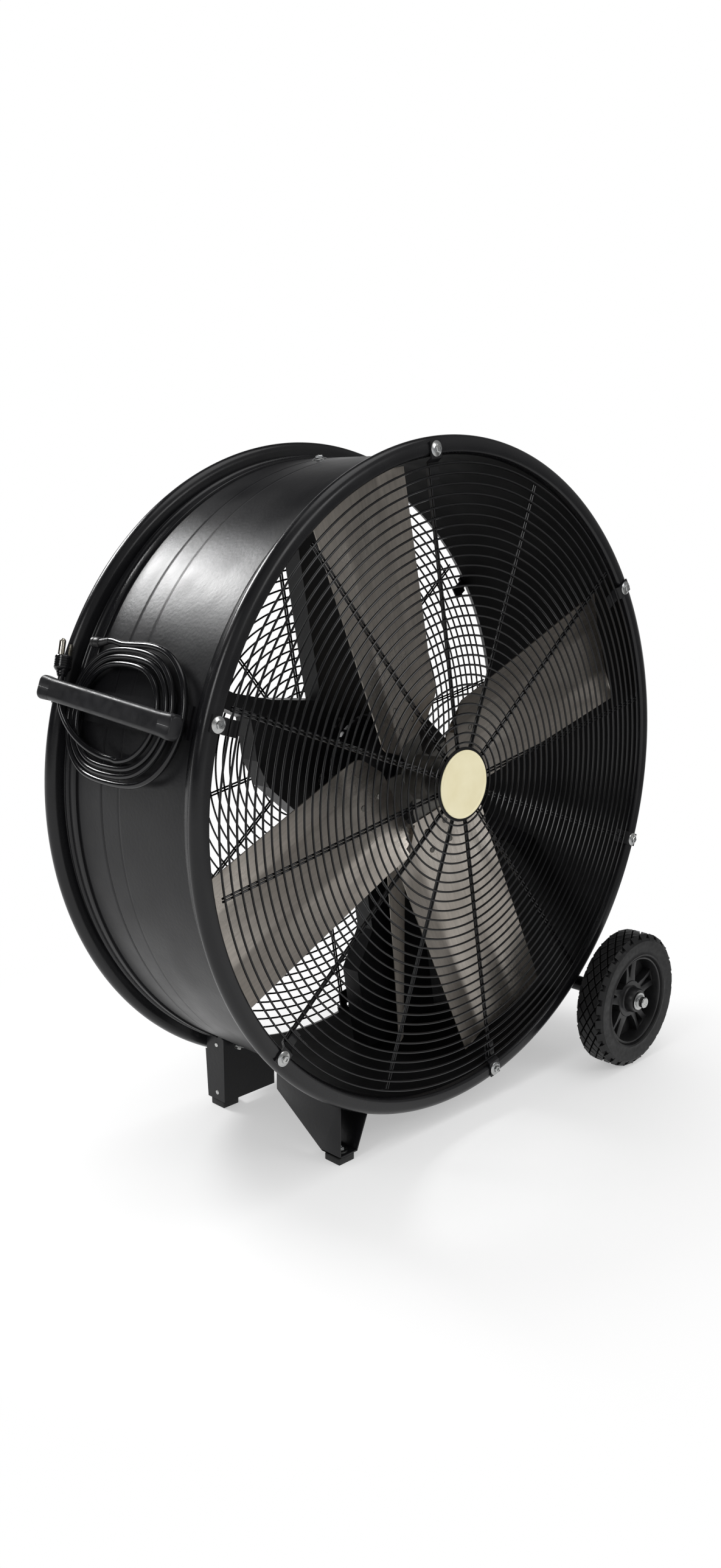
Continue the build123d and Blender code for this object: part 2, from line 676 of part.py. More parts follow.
with BuildPart() as tyre:
    with BuildSketch(wheel_plane(-WHEEL_BACK - SHOULDER)):
        RegularPolygon(WHEEL_R, WHEEL_SIDES)
    extrude(amount=WHEEL_W - 2 * SHOULDER)
    for y, way in ((-WHEEL_BACK - SHOULDER, -1), (-WHEEL_FACE + SHOULDER, 1)):
        with BuildSketch(wheel_plane(y)):
            RegularPolygon(WHEEL_R, WHEEL_SIDES)
        extrude(amount=way * SHOULDER, taper=45)
    with BuildSketch(wheel_plane(-WHEEL_BACK)):
        RegularPolygon(TYRE_IN, WHEEL_SIDES)
    extrude(amount=WHEEL_W, mode=Mode.SUBTRACT)
keep("front_tyre", tyre.part)
opposite("rear_tyre", tyre.part)

HUB_MID = -(WHEEL_BACK + WHEEL_W / 2)
with BuildPart() as wheel_hub:
    with BuildSketch(wheel_plane(HUB_MID + HUB_RING_W / 2)):
        RegularPolygon(TYRE_IN, WHEEL_SIDES)
        RegularPolygon(TYRE_IN - HUB_RING, WHEEL_SIDES, mode=Mode.SUBTRACT)
    extrude(amount=HUB_RING_W)
    with BuildSketch(wheel_plane(HUB_MID + WHEEL_SPOKE_T / 2)):
        for k in range(WHEEL_SPOKES):
            turn = 90 + 360 / WHEEL_SPOKES * k
            with Locations(Location((0, 0, 0), (0, 0, turn))):
                Polygon(
                    (12, -13), (TYRE_IN - 4, -WHEEL_SPOKE_W / 2 - 4), (TYRE_IN - 4, WHEEL_SPOKE_W / 2 + 4),
                    (12, 13), align=None)
                Polygon(
                    (36, -WHEEL_SLOT_W / 2 + 2), (TYRE_IN - 16, -WHEEL_SLOT_W / 2),
                    (TYRE_IN - 16, WHEEL_SLOT_W / 2), (36, WHEEL_SLOT_W / 2 - 2),
                    align=None, mode=Mode.SUBTRACT)
    extrude(amount=WHEEL_SPOKE_T)
    with BuildSketch(wheel_plane(-WHEEL_BACK)):
        RegularPolygon(BOSS_R, 12)
    extrude(amount=WHEEL_W)
    with BuildSketch(wheel_plane(-WHEEL_BACK)):
        Circle(AXLE_R + RUNNING)
    extrude(amount=WHEEL_W, mode=Mode.SUBTRACT)
keep("front_wheel_hub", wheel_hub.part)
opposite("rear_wheel_hub", wheel_hub.part)

with BuildPart() as axle:
    with BuildSketch(wheel_plane(AXLE_OUT)):
        Circle(AXLE_R)
    extrude(amount=2 * AXLE_OUT)
keep("axle_rod", axle.part)

SLEEVE_END = WHEEL_BACK - 1.0
with BuildPart() as sleeve:
    with BuildSketch(wheel_plane(SLEEVE_END)):
        RegularPolygon(SLEEVE_R, 16)
        RegularPolygon(AXLE_R, 12, major_radius=False, mode=Mode.SUBTRACT)
    extrude(amount=2 * SLEEVE_END)
keep("axle_sleeve", sleeve.part)

with BuildPart() as nut:
    with BuildSketch(wheel_plane(-WHEEL_FACE - 1.0)):
        RegularPolygon(NUT_R + 3.0, 8)
        RegularPolygon(AXLE_R, 8, major_radius=False, mode=Mode.SUBTRACT)
    extrude(amount=2.0)
    with BuildSketch(wheel_plane(-WHEEL_FACE - 3.0)):
        RegularPolygon(NUT_R, 6)
        RegularPolygon(AXLE_R, 8, major_radius=False, mode=Mode.SUBTRACT)
    extrude(amount=NUT_T)
    with BuildSketch(wheel_plane(-WHEEL_FACE - 3.0 - NUT_T)):
        RegularPolygon(AXLE_R + 2.0, 8)
    extrude(amount=2.5, taper=20)
keep("front_axle_nut", nut.part)
opposite("rear_axle_nut", nut.part)

with BuildPart() as bracket:
    with BuildSketch(facing(-SADDLE_Y + SADDLE_W / 2)):
        add(sector(BODY_R, BODY_R + SADDLE_T, AXLE_ANGLE - SADDLE_ARC / 2, SADDLE_ARC))
    extrude(amount=SADDLE_W)
    ear_plane = Plane(origin=(0, -EAR_Y + EAR_T / 2, AXIS_Z), x_dir=outward(AXLE_ANGLE), z_dir=(0, -1, 0))
    with BuildSketch(ear_plane):
        Polygon(
            (BODY_R - 4, -EAR_BASE), (BODY_R - 4, EAR_BASE), (AXLE_REACH + 6, EAR_NOSE - 1),
            (AXLE_REACH + 6, -EAR_NOSE + 1), align=None)
        with Locations((AXLE_REACH, 0)):
            RegularPolygon(EAR_NOSE, 16)
    extrude(amount=EAR_T)
    with BuildSketch(facing(-EAR_Y + EAR_T)):
        Circle(BODY_R)
    extrude(amount=2 * EAR_T, mode=Mode.SUBTRACT)
    with BuildSketch(wheel_plane(-EAR_Y + EAR_T)):
        RegularPolygon(SLEEVE_R, 16)
    extrude(amount=2 * EAR_T, mode=Mode.SUBTRACT)
keep("front_axle_bracket", bracket.part)
opposite("rear_axle_bracket", bracket.part)
keep("axle_bracket_bolts", bolts(saddle_seats))

# ---------------------------------------------------------------- legs
PAD_CENTRES = {"front": (LEG_X + 16.5, FRONT_LEG_Y + 17.5), "rear": (LEG_X + 17.5, REAR_LEG_Y + 20.0)}
pad_seats = {
    end: Plane(origin=(x + 2.0, y, PAD_H + SHEET), x_dir=(1, 0, 0), z_dir=(0, 0, 1))
    for end, (x, y) in PAD_CENTRES.items()
}

with BuildPart() as front_leg:
    with BuildSketch(lengthways(LEG_X)):
        Polygon(
            (FRONT_LEG_Y, PAD_H), (FRONT_TOE_Y, PAD_H), (FRONT_INNER_Y, FRONT_NOTCH),
            (FRONT_INNER_Y, LEG_TOP), (FRONT_LEG_Y, LEG_TOP), align=None)
    extrude(amount=SHEET)
    with BuildSketch(facing(FRONT_LEG_Y + SHEET, 0)):
        Polygon(
            (LEG_X, PAD_H), (LEG_X + TOE, PAD_H), (FRONT_PLATE_TOP, LEG_TOP), (LEG_X, LEG_TOP), align=None)
    extrude(amount=SHEET)
    add(CLEAR, mode=Mode.SUBTRACT)
    with BuildSketch(Plane.XY.offset(PAD_H)):
        with Locations((LEG_X + TOE / 2, (FRONT_LEG_Y + FRONT_TOE_Y) / 2)):
            Rectangle(TOE, FRONT_TOE_Y - FRONT_LEG_Y)
    extrude(amount=SHEET)
    with BuildSketch(facing(FRONT_INNER_Y)):
        add(sector(BODY_R, BODY_R + SHEET, LEG_ANGLE, FLANGE_ARC))
    extrude(amount=FRONT_INNER_Y + HOOP_Y - 0.5)
keep("front_leg", front_leg.part)

with BuildPart() as rear_leg:
    with BuildSketch(lengthways(LEG_X)):
        Polygon(
            (REAR_LEG_Y, PAD_H), (REAR_TOE_Y, PAD_H), (REAR_TOP_Y, LEG_TOP), (REAR_LEG_Y, LEG_TOP),
            align=None)
    extrude(amount=SHEET)
    with BuildSketch(facing(REAR_LEG_Y + SHEET, 0)):
        Polygon(
            (LEG_X, PAD_H), (REAR_WEB_X, PAD_H), (REAR_WEB_X, LEG_TOP), (LEG_X, LEG_TOP), align=None)
    extrude(amount=SHEET)
    add(CLEAR, mode=Mode.SUBTRACT)
    with BuildSketch(Plane.XY.offset(PAD_H)):
        with Locations((LEG_X + TOE / 2, (REAR_LEG_Y + REAR_TOE_Y) / 2)):
            Rectangle(TOE, REAR_TOE_Y - REAR_LEG_Y)
    extrude(amount=SHEET)
    with BuildSketch(facing(REAR_LEG_Y + SHEET)):
        add(sector(BODY_R, BODY_R + SHEET, LEG_ANGLE, WEB_ANGLE - LEG_ANGLE))
    extrude(amount=30.0)
keep("rear_leg", rear_leg.part)

for end, (x, y) in PAD_CENTRES.items():
    with BuildPart() as pad:
        with BuildSketch(Plane.XY):
            with Locations((x, y)):
                Rectangle(PAD, PAD)
        extrude(amount=PAD_H)
    keep(f"{end}_foot", pad.part)
keep("leg_bolts", bolts(
    [*front_leg_seats, *rear_leg_seats, pad_seats["front"], pad_seats["rear"]]))

# ---------------------------------------------------------------- handle
HANDLE = Plane(origin=beside(0, HANDLE_DROP, BAR_IN + BAR_T / 2), x_dir=UP, z_dir=ALONG)

with BuildPart() as bar:
    with BuildSketch(HANDLE.offset(-BAR_LEN / 2 + CAP_LEN)):
        Rectangle(BAR_H, BAR_T)
        chamfer(vertices(), BAR_ROUND)
    extrude(amount=BAR_LEN - 2 * CAP_LEN)
keep("handle_bar", bar.part)

with BuildPart() as caps:
    for side in (-1, 1):
        with BuildSketch(HANDLE.offset(side * (BAR_LEN / 2 - CAP_LEN))):
            Rectangle(BAR_H + 2 * CAP_SWELL, BAR_T + 2 * CAP_SWELL)
            chamfer(vertices(), BAR_ROUND)
        extrude(amount=side * (CAP_LEN - 5.0))
        with BuildSketch(HANDLE.offset(side * (BAR_LEN / 2 - 5.0))):
            Rectangle(BAR_H + 2 * CAP_SWELL, BAR_T + 2 * CAP_SWELL)
            chamfer(vertices(), BAR_ROUND)
        extrude(amount=side * 5.0, taper=38)
keep("handle_caps", caps.part)

POSTS = Plane(origin=beside(0, HANDLE_DROP, 0), x_dir=ALONG, z_dir=OUT)
with BuildPart() as posts:
    with BuildSketch(POSTS.offset(BODY_R - 6.0)):
        with Locations((-POST_AT, 0), (POST_AT, 0)):
            Rectangle(POST_W, POST_H)
    extrude(amount=BAR_IN - BODY_R + 6.0)
    with BuildSketch(facing(BEAD_SPAN)):
        Circle(BODY_R + BASE_T)
    extrude(amount=2 * BEAD_SPAN, mode=Mode.SUBTRACT)
keep("handle_posts", posts.part)

BASE_MID = HANDLE_ANGLE - degrees(HANDLE_DROP / BODY_R)
base_seats = [
    on_drum(BASE_MID, y, BODY_R + BASE_T) for y in (-BASE_LEN / 2 + 9.0, -66.0, 66.0, BASE_LEN / 2 - 9.0)
]
with BuildPart() as base:
    with BuildSketch(facing(BASE_LEN / 2)):
        add(sector(BODY_R, BODY_R + BASE_T, BASE_MID - BASE_ARC / 2, BASE_ARC))
    extrude(amount=BASE_LEN)
keep("handle_base", base.part)

with BuildPart() as screws:
    for seat in base_seats[1:3]:
        with BuildSketch(seat):
            RegularPolygon(6.0, 8)
        extrude(amount=2.0)
keep("handle_screws", screws.part)

keep("seam_bolt", bolts(seam_seats))

# ---------------------------------------------------------------- power cord
gland_at = LEAD[0]
GLAND = Plane(origin=beside(*gland_at), x_dir=UP, z_dir=FORWARD)
with BuildPart() as gland:
    with BuildSketch(GLAND):
        RegularPolygon(GLAND_R, 12)
    extrude(amount=-GLAND_LEN)
    with BuildSketch(Plane(origin=beside(gland_at[0] - GLAND_LEN / 2, gland_at[1], gland_at[2]),
                           x_dir=FORWARD, z_dir=OUT)):
        Rectangle(GLAND_FOOT, GLAND_FOOT)
    extrude(amount=-24.0)
    add(TOUCHING, mode=Mode.SUBTRACT)
keep("cord_gland", gland.part)

PLUG_AXIS = (UP * cos(radians(PLUG_TILT)) - FORWARD * sin(radians(PLUG_TILT))).normalized()
plug_start = beside(*PLUG_BASE)

with BuildPart() as coil:
    with BuildLine() as path:
        points = [beside(*p) for p in LEAD]
        FilletPolyline(*points, radius=[48.0, 48.0, 60.0])
        here = points[-1]
        top, bottom = COIL_TOP, COIL_BOTTOM
        for k, reach in enumerate(COIL_FRONTS):
            r_front = (top - bottom) / 2
            middle = reach - r_front
            turn_in = beside(middle, top, COIL_OUT)
            Line(here, turn_in)
            mid_up = (top + bottom) / 2
            turn_out = beside(middle, bottom, COIL_OUT)
            ThreePointArc(turn_in, beside(reach, mid_up, COIL_OUT), turn_out)
            if k == len(COIL_FRONTS) - 1:
                here = turn_out
                break
            back_in = beside(COIL_BACK, bottom, COIL_OUT)
            Line(turn_out, back_in)
            top -= COIL_STEP
            r_back = (top - bottom) / 2
            back_out = beside(COIL_BACK, top, COIL_OUT)
            ThreePointArc(back_in, beside(COIL_BACK - r_back, (top + bottom) / 2, COIL_OUT), back_out)
            bottom += COIL_STEP
            here = back_out
        bend = plug_start - PLUG_AXIS * TAIL_RUN
        tail = [here, *[beside(*p) for p in TAIL], bend, plug_start]
        FilletPolyline(*tail, radius=48.0)
    with BuildSketch(Plane(origin=points[0], x_dir=OUT, z_dir=FORWARD)):
        RegularPolygon(CORD_D / 2, CORD_SIDES)
    sweep(path=path.wires()[0])
keep("cord_coil", coil.part)

route = path.wires()[0]
samples = [route.position_at(k / 1500) for k in range(1501)]
step = route.length / 1500
least = min(
    (samples[i] - samples[j]).length
    for i in range(0, 1501, 2) for j in range(i + int(6 * CORD_D / step), 1501, 2)
)
area = 0.5 * CORD_SIDES * (CORD_D / 2) ** 2 * sin(radians(360 / CORD_SIDES))
print(f"cord {route.length:.0f} mm, self gap {least - CORD_D:.2f}, wires {len(path.wires())}, "
      f"volume ratio {coil.part.volume / (area * route.length):.4f}")

PLUG = Plane(origin=plug_start, x_dir=OUT, z_dir=PLUG_AXIS)
with BuildPart() as plug:
    with BuildSketch(PLUG):
        RegularPolygon(COLLAR_R, 16)
    extrude(amount=COLLAR_L)
    with BuildSketch(PLUG.offset(COLLAR_L)):
        RegularPolygon(PLUG_R, 16)
    extrude(amount=PLUG_L)
keep("cord_plug", plug.part)

PLUG_FACE = COLLAR_L + PLUG_L
with BuildPart() as pins:
    with BuildSketch(PLUG.offset(PLUG_FACE)):
        with Locations((2.0, -5.0)):
            RegularPolygon(PIN_R, 16)
    extrude(amount=PIN_L)
    with BuildSketch(PLUG.offset(PLUG_FACE + PIN_L)):
        with Locations((2.0, -5.0)):
            RegularPolygon(BALL_R, 12)
    extrude(amount=2 * BALL_R - 1.0)
    with BuildSketch(PLUG.offset(PLUG_FACE)):
        with Locations((-5.0, 8.0)):
            Rectangle(FLAT_PIN[0], FLAT_PIN[1])
    extrude(amount=FLAT_PIN[2])
keep("plug_pins", pins.part)

# ---------------------------------------------------------------- export
os.makedirs("parts", exist_ok=True)
for name, piece in pieces.items():
    export_step(piece, f"parts/{name}.step")
    box = piece.bounding_box()
    print(f"{name:22s} solids {len(piece.solids()):3d}  volume {piece.volume / 1000:9.1f} cm3  "
          f"x {box.min.X:7.1f} {box.max.X:7.1f}  y {box.min.Y:7.1f} {box.max.Y:7.1f}  "
          f"z {box.min.Z:7.1f} {box.max.Z:7.1f}")
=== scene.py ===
"""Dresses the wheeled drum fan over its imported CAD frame.

Everything is in metres in the frame's own axes: +Y away from the outlet grille, +X towards the wheels,
+Z up, the origin on the floor. Each sub-assembly is a class that builds its meshes and dresses them.
"""

from __future__ import annotations

import json
import logging
import math
from collections.abc import Callable, Iterable, Sequence
from dataclasses import dataclass, field
from enum import Enum
from functools import cache, partial
from typing import Any

import bmesh
import bpy
from mathutils import Matrix, Vector
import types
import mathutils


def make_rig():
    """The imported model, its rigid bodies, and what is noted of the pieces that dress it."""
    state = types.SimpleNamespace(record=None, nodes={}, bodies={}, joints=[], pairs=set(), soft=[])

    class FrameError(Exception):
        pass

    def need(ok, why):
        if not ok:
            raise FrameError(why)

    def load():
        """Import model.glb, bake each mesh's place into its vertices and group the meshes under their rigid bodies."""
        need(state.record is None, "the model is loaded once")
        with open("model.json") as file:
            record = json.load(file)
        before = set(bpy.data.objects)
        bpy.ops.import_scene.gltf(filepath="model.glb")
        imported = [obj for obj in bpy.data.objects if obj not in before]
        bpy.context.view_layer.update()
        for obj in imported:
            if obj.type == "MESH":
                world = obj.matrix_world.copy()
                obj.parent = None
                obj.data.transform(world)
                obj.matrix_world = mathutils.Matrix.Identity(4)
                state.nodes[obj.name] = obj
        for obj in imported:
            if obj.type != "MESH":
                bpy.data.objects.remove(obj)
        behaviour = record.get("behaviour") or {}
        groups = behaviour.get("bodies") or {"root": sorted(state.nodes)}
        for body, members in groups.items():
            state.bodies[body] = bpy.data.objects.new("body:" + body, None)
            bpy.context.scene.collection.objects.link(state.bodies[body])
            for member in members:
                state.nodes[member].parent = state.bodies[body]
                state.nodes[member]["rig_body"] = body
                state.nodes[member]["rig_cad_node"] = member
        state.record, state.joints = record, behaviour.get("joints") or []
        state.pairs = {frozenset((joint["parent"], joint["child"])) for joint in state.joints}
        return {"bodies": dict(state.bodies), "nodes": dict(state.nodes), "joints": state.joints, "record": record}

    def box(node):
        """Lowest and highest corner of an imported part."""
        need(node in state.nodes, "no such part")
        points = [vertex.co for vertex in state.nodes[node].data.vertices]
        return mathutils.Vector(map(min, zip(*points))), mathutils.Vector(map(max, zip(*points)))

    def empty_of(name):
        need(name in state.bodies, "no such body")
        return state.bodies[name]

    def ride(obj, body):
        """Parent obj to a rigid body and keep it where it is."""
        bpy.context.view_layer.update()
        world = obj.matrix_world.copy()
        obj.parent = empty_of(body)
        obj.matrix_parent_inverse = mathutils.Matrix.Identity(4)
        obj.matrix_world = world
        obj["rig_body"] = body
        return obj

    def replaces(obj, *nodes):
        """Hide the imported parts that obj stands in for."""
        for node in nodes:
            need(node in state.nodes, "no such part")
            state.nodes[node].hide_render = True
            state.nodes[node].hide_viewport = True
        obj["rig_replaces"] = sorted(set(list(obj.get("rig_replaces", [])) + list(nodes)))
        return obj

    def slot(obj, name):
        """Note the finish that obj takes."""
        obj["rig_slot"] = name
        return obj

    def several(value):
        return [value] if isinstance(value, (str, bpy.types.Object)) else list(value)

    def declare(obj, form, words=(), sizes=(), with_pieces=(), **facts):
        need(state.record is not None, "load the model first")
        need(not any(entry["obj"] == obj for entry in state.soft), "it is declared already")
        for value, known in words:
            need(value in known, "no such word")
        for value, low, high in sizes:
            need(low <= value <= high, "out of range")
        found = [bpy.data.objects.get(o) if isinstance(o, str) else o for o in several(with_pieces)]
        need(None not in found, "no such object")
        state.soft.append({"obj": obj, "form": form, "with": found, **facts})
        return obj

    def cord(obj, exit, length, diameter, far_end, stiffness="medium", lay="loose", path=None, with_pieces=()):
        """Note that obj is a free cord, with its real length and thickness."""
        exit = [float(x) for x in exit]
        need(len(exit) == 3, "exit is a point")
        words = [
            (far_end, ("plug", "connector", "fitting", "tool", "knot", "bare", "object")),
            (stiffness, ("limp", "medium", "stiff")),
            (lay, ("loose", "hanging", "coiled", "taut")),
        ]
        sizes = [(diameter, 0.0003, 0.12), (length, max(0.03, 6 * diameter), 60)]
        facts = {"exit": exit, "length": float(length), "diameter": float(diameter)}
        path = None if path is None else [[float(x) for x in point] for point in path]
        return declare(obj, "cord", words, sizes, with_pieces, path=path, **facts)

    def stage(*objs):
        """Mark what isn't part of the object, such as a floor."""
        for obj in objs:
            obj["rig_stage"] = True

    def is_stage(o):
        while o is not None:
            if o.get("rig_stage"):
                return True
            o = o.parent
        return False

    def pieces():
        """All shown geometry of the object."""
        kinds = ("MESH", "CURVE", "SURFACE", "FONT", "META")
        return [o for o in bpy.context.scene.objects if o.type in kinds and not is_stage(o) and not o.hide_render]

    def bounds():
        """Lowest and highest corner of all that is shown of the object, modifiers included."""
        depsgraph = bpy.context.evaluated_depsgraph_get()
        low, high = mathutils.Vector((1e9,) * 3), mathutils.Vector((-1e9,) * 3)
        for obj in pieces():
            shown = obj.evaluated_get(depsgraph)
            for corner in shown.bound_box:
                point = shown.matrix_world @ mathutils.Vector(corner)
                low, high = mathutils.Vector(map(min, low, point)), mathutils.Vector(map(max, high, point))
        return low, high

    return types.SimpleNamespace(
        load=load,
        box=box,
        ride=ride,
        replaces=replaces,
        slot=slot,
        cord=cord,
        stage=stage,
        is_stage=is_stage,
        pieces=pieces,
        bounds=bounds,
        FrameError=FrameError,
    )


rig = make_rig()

LOG = logging.getLogger("drum_fan")
MM = 0.001
AXIS_X = 0.0112
AXIS_Z = 0.588
HANDLE_ANGLE = 162.8
DEEP = Vector((0.0, 1.0, 0.0))
Outline = Sequence[tuple[float, float]]


class End(Enum):
    """The two ends of the drum: the outlet grille in front and the intake grille behind."""

    FRONT = -1
    REAR = 1

    @property
    def label(self) -> str:
        """Name of this end as the CAD nodes begin."""
        return self.name.lower()


# ------------------------------------------------------------------------------ places
def outward(degrees: float) -> Vector:
    """Unit vector away from the drum's axis, anticlockwise from +X seen from the front."""
    return Vector((math.cos(math.radians(degrees)), 0.0, math.sin(math.radians(degrees))))


def around(degrees: float) -> Vector:
    """Unit vector anticlockwise round the drum's axis at an angle."""
    return Vector((-math.sin(math.radians(degrees)), 0.0, math.cos(math.radians(degrees))))


def on_axis(y: float = 0.0) -> Vector:
    """Point on the drum's axis."""
    return Vector((AXIS_X, y, AXIS_Z))


def beside(forward: float, up: float, out: float) -> Vector:
    """Point near the handle: forwards, up along the drum and out from its axis, in millimetres."""
    return on_axis(-forward * MM) + (outward(HANDLE_ANGLE) * out - around(HANDLE_ANGLE) * up) * MM


def middle_of(node: str) -> Vector:
    """Middle of a CAD node's box."""
    low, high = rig.box(node)
    return (Vector(low) + Vector(high)) / 2


def seat_at(origin: Vector, axis: Vector, side: Vector | None = None) -> Matrix:
    """Place something on a point.

    Args:
        origin: the point.
        axis: the direction that Z takes.
        side: a direction that X stays near, or None for any.

    Returns:
        The seat's matrix.
    """
    up = axis.normalized()
    first = (side if side is not None else up.orthogonal()).normalized()
    other = up.cross(first).normalized()
    turn = Matrix((other.cross(up), other, up)).transposed().to_4x4()
    return Matrix.Translation(origin) @ turn


def seats_of(node: str, forward: Vector) -> list[Matrix]:
    """Seats of the fasteners in a CAD node, one for each of its solids.

    Args:
        node: a node of washers with heads, or of plain short prisms.
        forward: which way a plain prism faces.

    Returns:
        A matrix for each, on its seat, Z outwards.
    """
    work = bmesh.new()
    work.from_mesh(bpy.data.objects[node].data)
    bmesh.ops.remove_doubles(work, verts=work.verts, dist=1e-5)
    seats: list[Matrix] = []
    left = set(work.verts)
    while left:
        island, edge = set(), {next(iter(left))}
        while edge:
            island |= edge
            edge = {e.other_vert(v) for v in edge for e in v.link_edges} - island
        left -= island
        area: dict[tuple[float, ...], float] = {}
        for face in {f for v in island for f in v.link_faces}:
            key = tuple(round(c, 2) for c in face.normal)
            area[key] = area.get(key, 0.0) + face.calc_area()
        axis = Vector(max(area, key=lambda key: area[key])).normalized()
        depths = [v.co.dot(axis) for v in island]
        ends = {}
        for sign, level in ((1, max(depths)), (-1, min(depths))):
            rim = [v.co for v in island if abs(v.co.dot(axis) - level) < 2e-4]
            centre = sum(rim, Vector()) / len(rim)
            ends[sign] = (max((p - centre).length for p in rim), centre)
        wide = 1 if ends[1][0] > ends[-1][0] + 1e-4 else -1
        if abs(ends[1][0] - ends[-1][0]) < 1e-4:
            wide = 1 if axis.dot(forward) < 0 else -1
        seats.append(seat_at(ends[wide][1], axis * -wide))
    work.free()
    return seats


# ------------------------------------------------------------------------------ meshes
def scaled(points: Iterable[tuple[float, float]]) -> list[tuple[float, float]]:
    """A profile in millimetres as metres."""
    return [(a * MM, b * MM) for a, b in points]


def arc(centre: tuple[float, float], radius: float, start: float, end: float, steps: int) -> list[tuple[float, float]]:
    """Points on an arc in a profile's plane.

    Args:
        centre: the arc's centre.
        radius: its radius.
        start: first angle in degrees.
        end: last angle in degrees.
        steps: number of stretches.

    Returns:
        The points from start to end.
    """
    turns = [math.radians(start + (end - start) * k / steps) for k in range(steps + 1)]
    return [(centre[0] + radius * math.cos(t), centre[1] + radius * math.sin(t)) for t in turns]


def link(name: str, data: Any) -> bpy.types.Object:
    """Make an object of some data, linked to the scene.

    Args:
        name: the object's name.
        data: its mesh, curve, lamp or camera.

    Returns:
        The object.
    """
    made = bpy.data.objects.new(name, data)
    bpy.context.scene.collection.objects.link(made)
    return made


def shade(mesh: bpy.types.Mesh, sharp: float = 32.0) -> None:
    """Shade a mesh smooth, with edges sharper than an angle in degrees left sharp."""
    mesh.shade_smooth()
    mesh.set_sharp_from_angle(angle=math.radians(sharp))


def mesh_object(
    name: str, vertices: Sequence[Sequence[float]], faces: Sequence[Sequence[int]], sharp: float = 32.0
) -> bpy.types.Object:
    """Make a mesh object with merged points, outward faces and smooth shading between sharp edges.

    Args:
        name: the piece's name.
        vertices: points in metres.
        faces: corner indices.
        sharp: edges that turn by more than this many degrees stay sharp.

    Returns:
        The object, linked to the scene.
    """
    mesh = bpy.data.meshes.new(name)
    mesh.from_pydata([tuple(v) for v in vertices], [], [tuple(f) for f in faces])
    work = bmesh.new()
    work.from_mesh(mesh)
    bmesh.ops.remove_doubles(work, verts=work.verts, dist=1e-6)
    bmesh.ops.recalc_face_normals(work, faces=work.faces)
    work.to_mesh(mesh)
    work.free()
    shade(mesh, sharp)
    return link(name, mesh)


def lathe(
    name: str, profile: Outline, origin: Vector, axis: Vector = DEEP, segments: int = 128, sharp: float = 32.0
) -> bpy.types.Object:
    """Turn a closed profile round an axis.

    Args:
        name: the piece's name.
        profile: (radius, distance along the axis) points, in metres.
        origin: a point on the axis that the distances start from.
        axis: the axis's direction.
        segments: faces round the axis.
        sharp: edges that turn by more than this many degrees stay sharp.

    Returns:
        The turned object.
    """
    along = axis.normalized()
    side = along.orthogonal().normalized()
    other = along.cross(side)
    rings = []
    for step in range(segments):
        turn = 2 * math.pi * step / segments
        away = side * math.cos(turn) + other * math.sin(turn)
        rings.append([origin + away * r + along * d for r, d in profile])
    return loops(name, [*rings, rings[0]], False, sharp)


def loops(
    name: str, rings: Sequence[Sequence[Vector]], capped: bool = True, sharp: float = 32.0
) -> bpy.types.Object:
    """Skin a row of closed loops with the same number of points each.

    Args:
        name: the piece's name.
        rings: the loops in order.
        capped: whether the first and last loops are closed by a face.
        sharp: edges that turn by more than this many degrees stay sharp.

    Returns:
        The skinned object.
    """
    count, last = len(rings[0]), len(rings) - 1
    faces: list[tuple[int, ...]] = []
    for row in range(last):
        here, there = row * count, (row + 1) * count
        faces += [(here + k, here + (k + 1) % count, there + (k + 1) % count, there + k) for k in range(count)]
    if capped:
        faces += [tuple(range(count)), tuple(range(last * count, (last + 1) * count))]
    return mesh_object(name, [point for ring in rings for point in ring], faces, sharp)


def prism(name: str, outline: Outline, seat: Matrix, depth: float) -> bpy.types.Object:
    """Extrude an outline.

    Args:
        name: the piece's name.
        outline: points in the seat's X and Y, in metres.
        seat: where the outline lies; the prism grows along its Z.
        depth: how far it grows.

    Returns:
        The prism.
    """
    return loops(name, [[seat @ Vector((x, y, z)) for x, y in outline] for z in (0.0, depth)])


def join(name: str, parts: Sequence[bpy.types.Object]) -> bpy.types.Object:
    """Join mesh objects into one, keeping their materials.

    Args:
        name: the new piece's name.
        parts: objects at the origin.

    Returns:
        The joined object.
    """
    bpy.ops.object.select_all(action="DESELECT")
    for part in parts:
        part.select_set(True)
    bpy.context.view_layer.objects.active = parts[0]
    bpy.ops.object.join()
    parts[0].name = parts[0].data.name = name
    return parts[0]


def bake(obj: bpy.types.Object) -> bpy.types.Object:
    """Turn an object with modifiers into a plain mesh.

    Args:
        obj: the object, which is removed.

    Returns:
        A mesh object of the same name.
    """
    graph = bpy.context.evaluated_depsgraph_get()
    mesh = bpy.data.meshes.new_from_object(obj.evaluated_get(graph))
    name = obj.name
    bpy.data.objects.remove(obj)
    mesh.name = name
    return link(name, mesh)


def soften(obj: bpy.types.Object, width: float, steps: int = 2, angle: float = 32.0) -> bpy.types.Object:
    """Round a piece's edges.

    Args:
        obj: the piece, which is replaced.
        width: the rounding's width in metres.
        steps: faces across it.
        angle: edges that turn by less than this many degrees stay as they are.

    Returns:
        The rounded piece as a plain mesh.
    """
    bevel = obj.modifiers.new("soften", "BEVEL")
    bevel.width, bevel.segments, bevel.limit_method = width, steps, "ANGLE"
    bevel.angle_limit = math.radians(angle)
    made = bake(obj)
    shade(made.data)
    return made


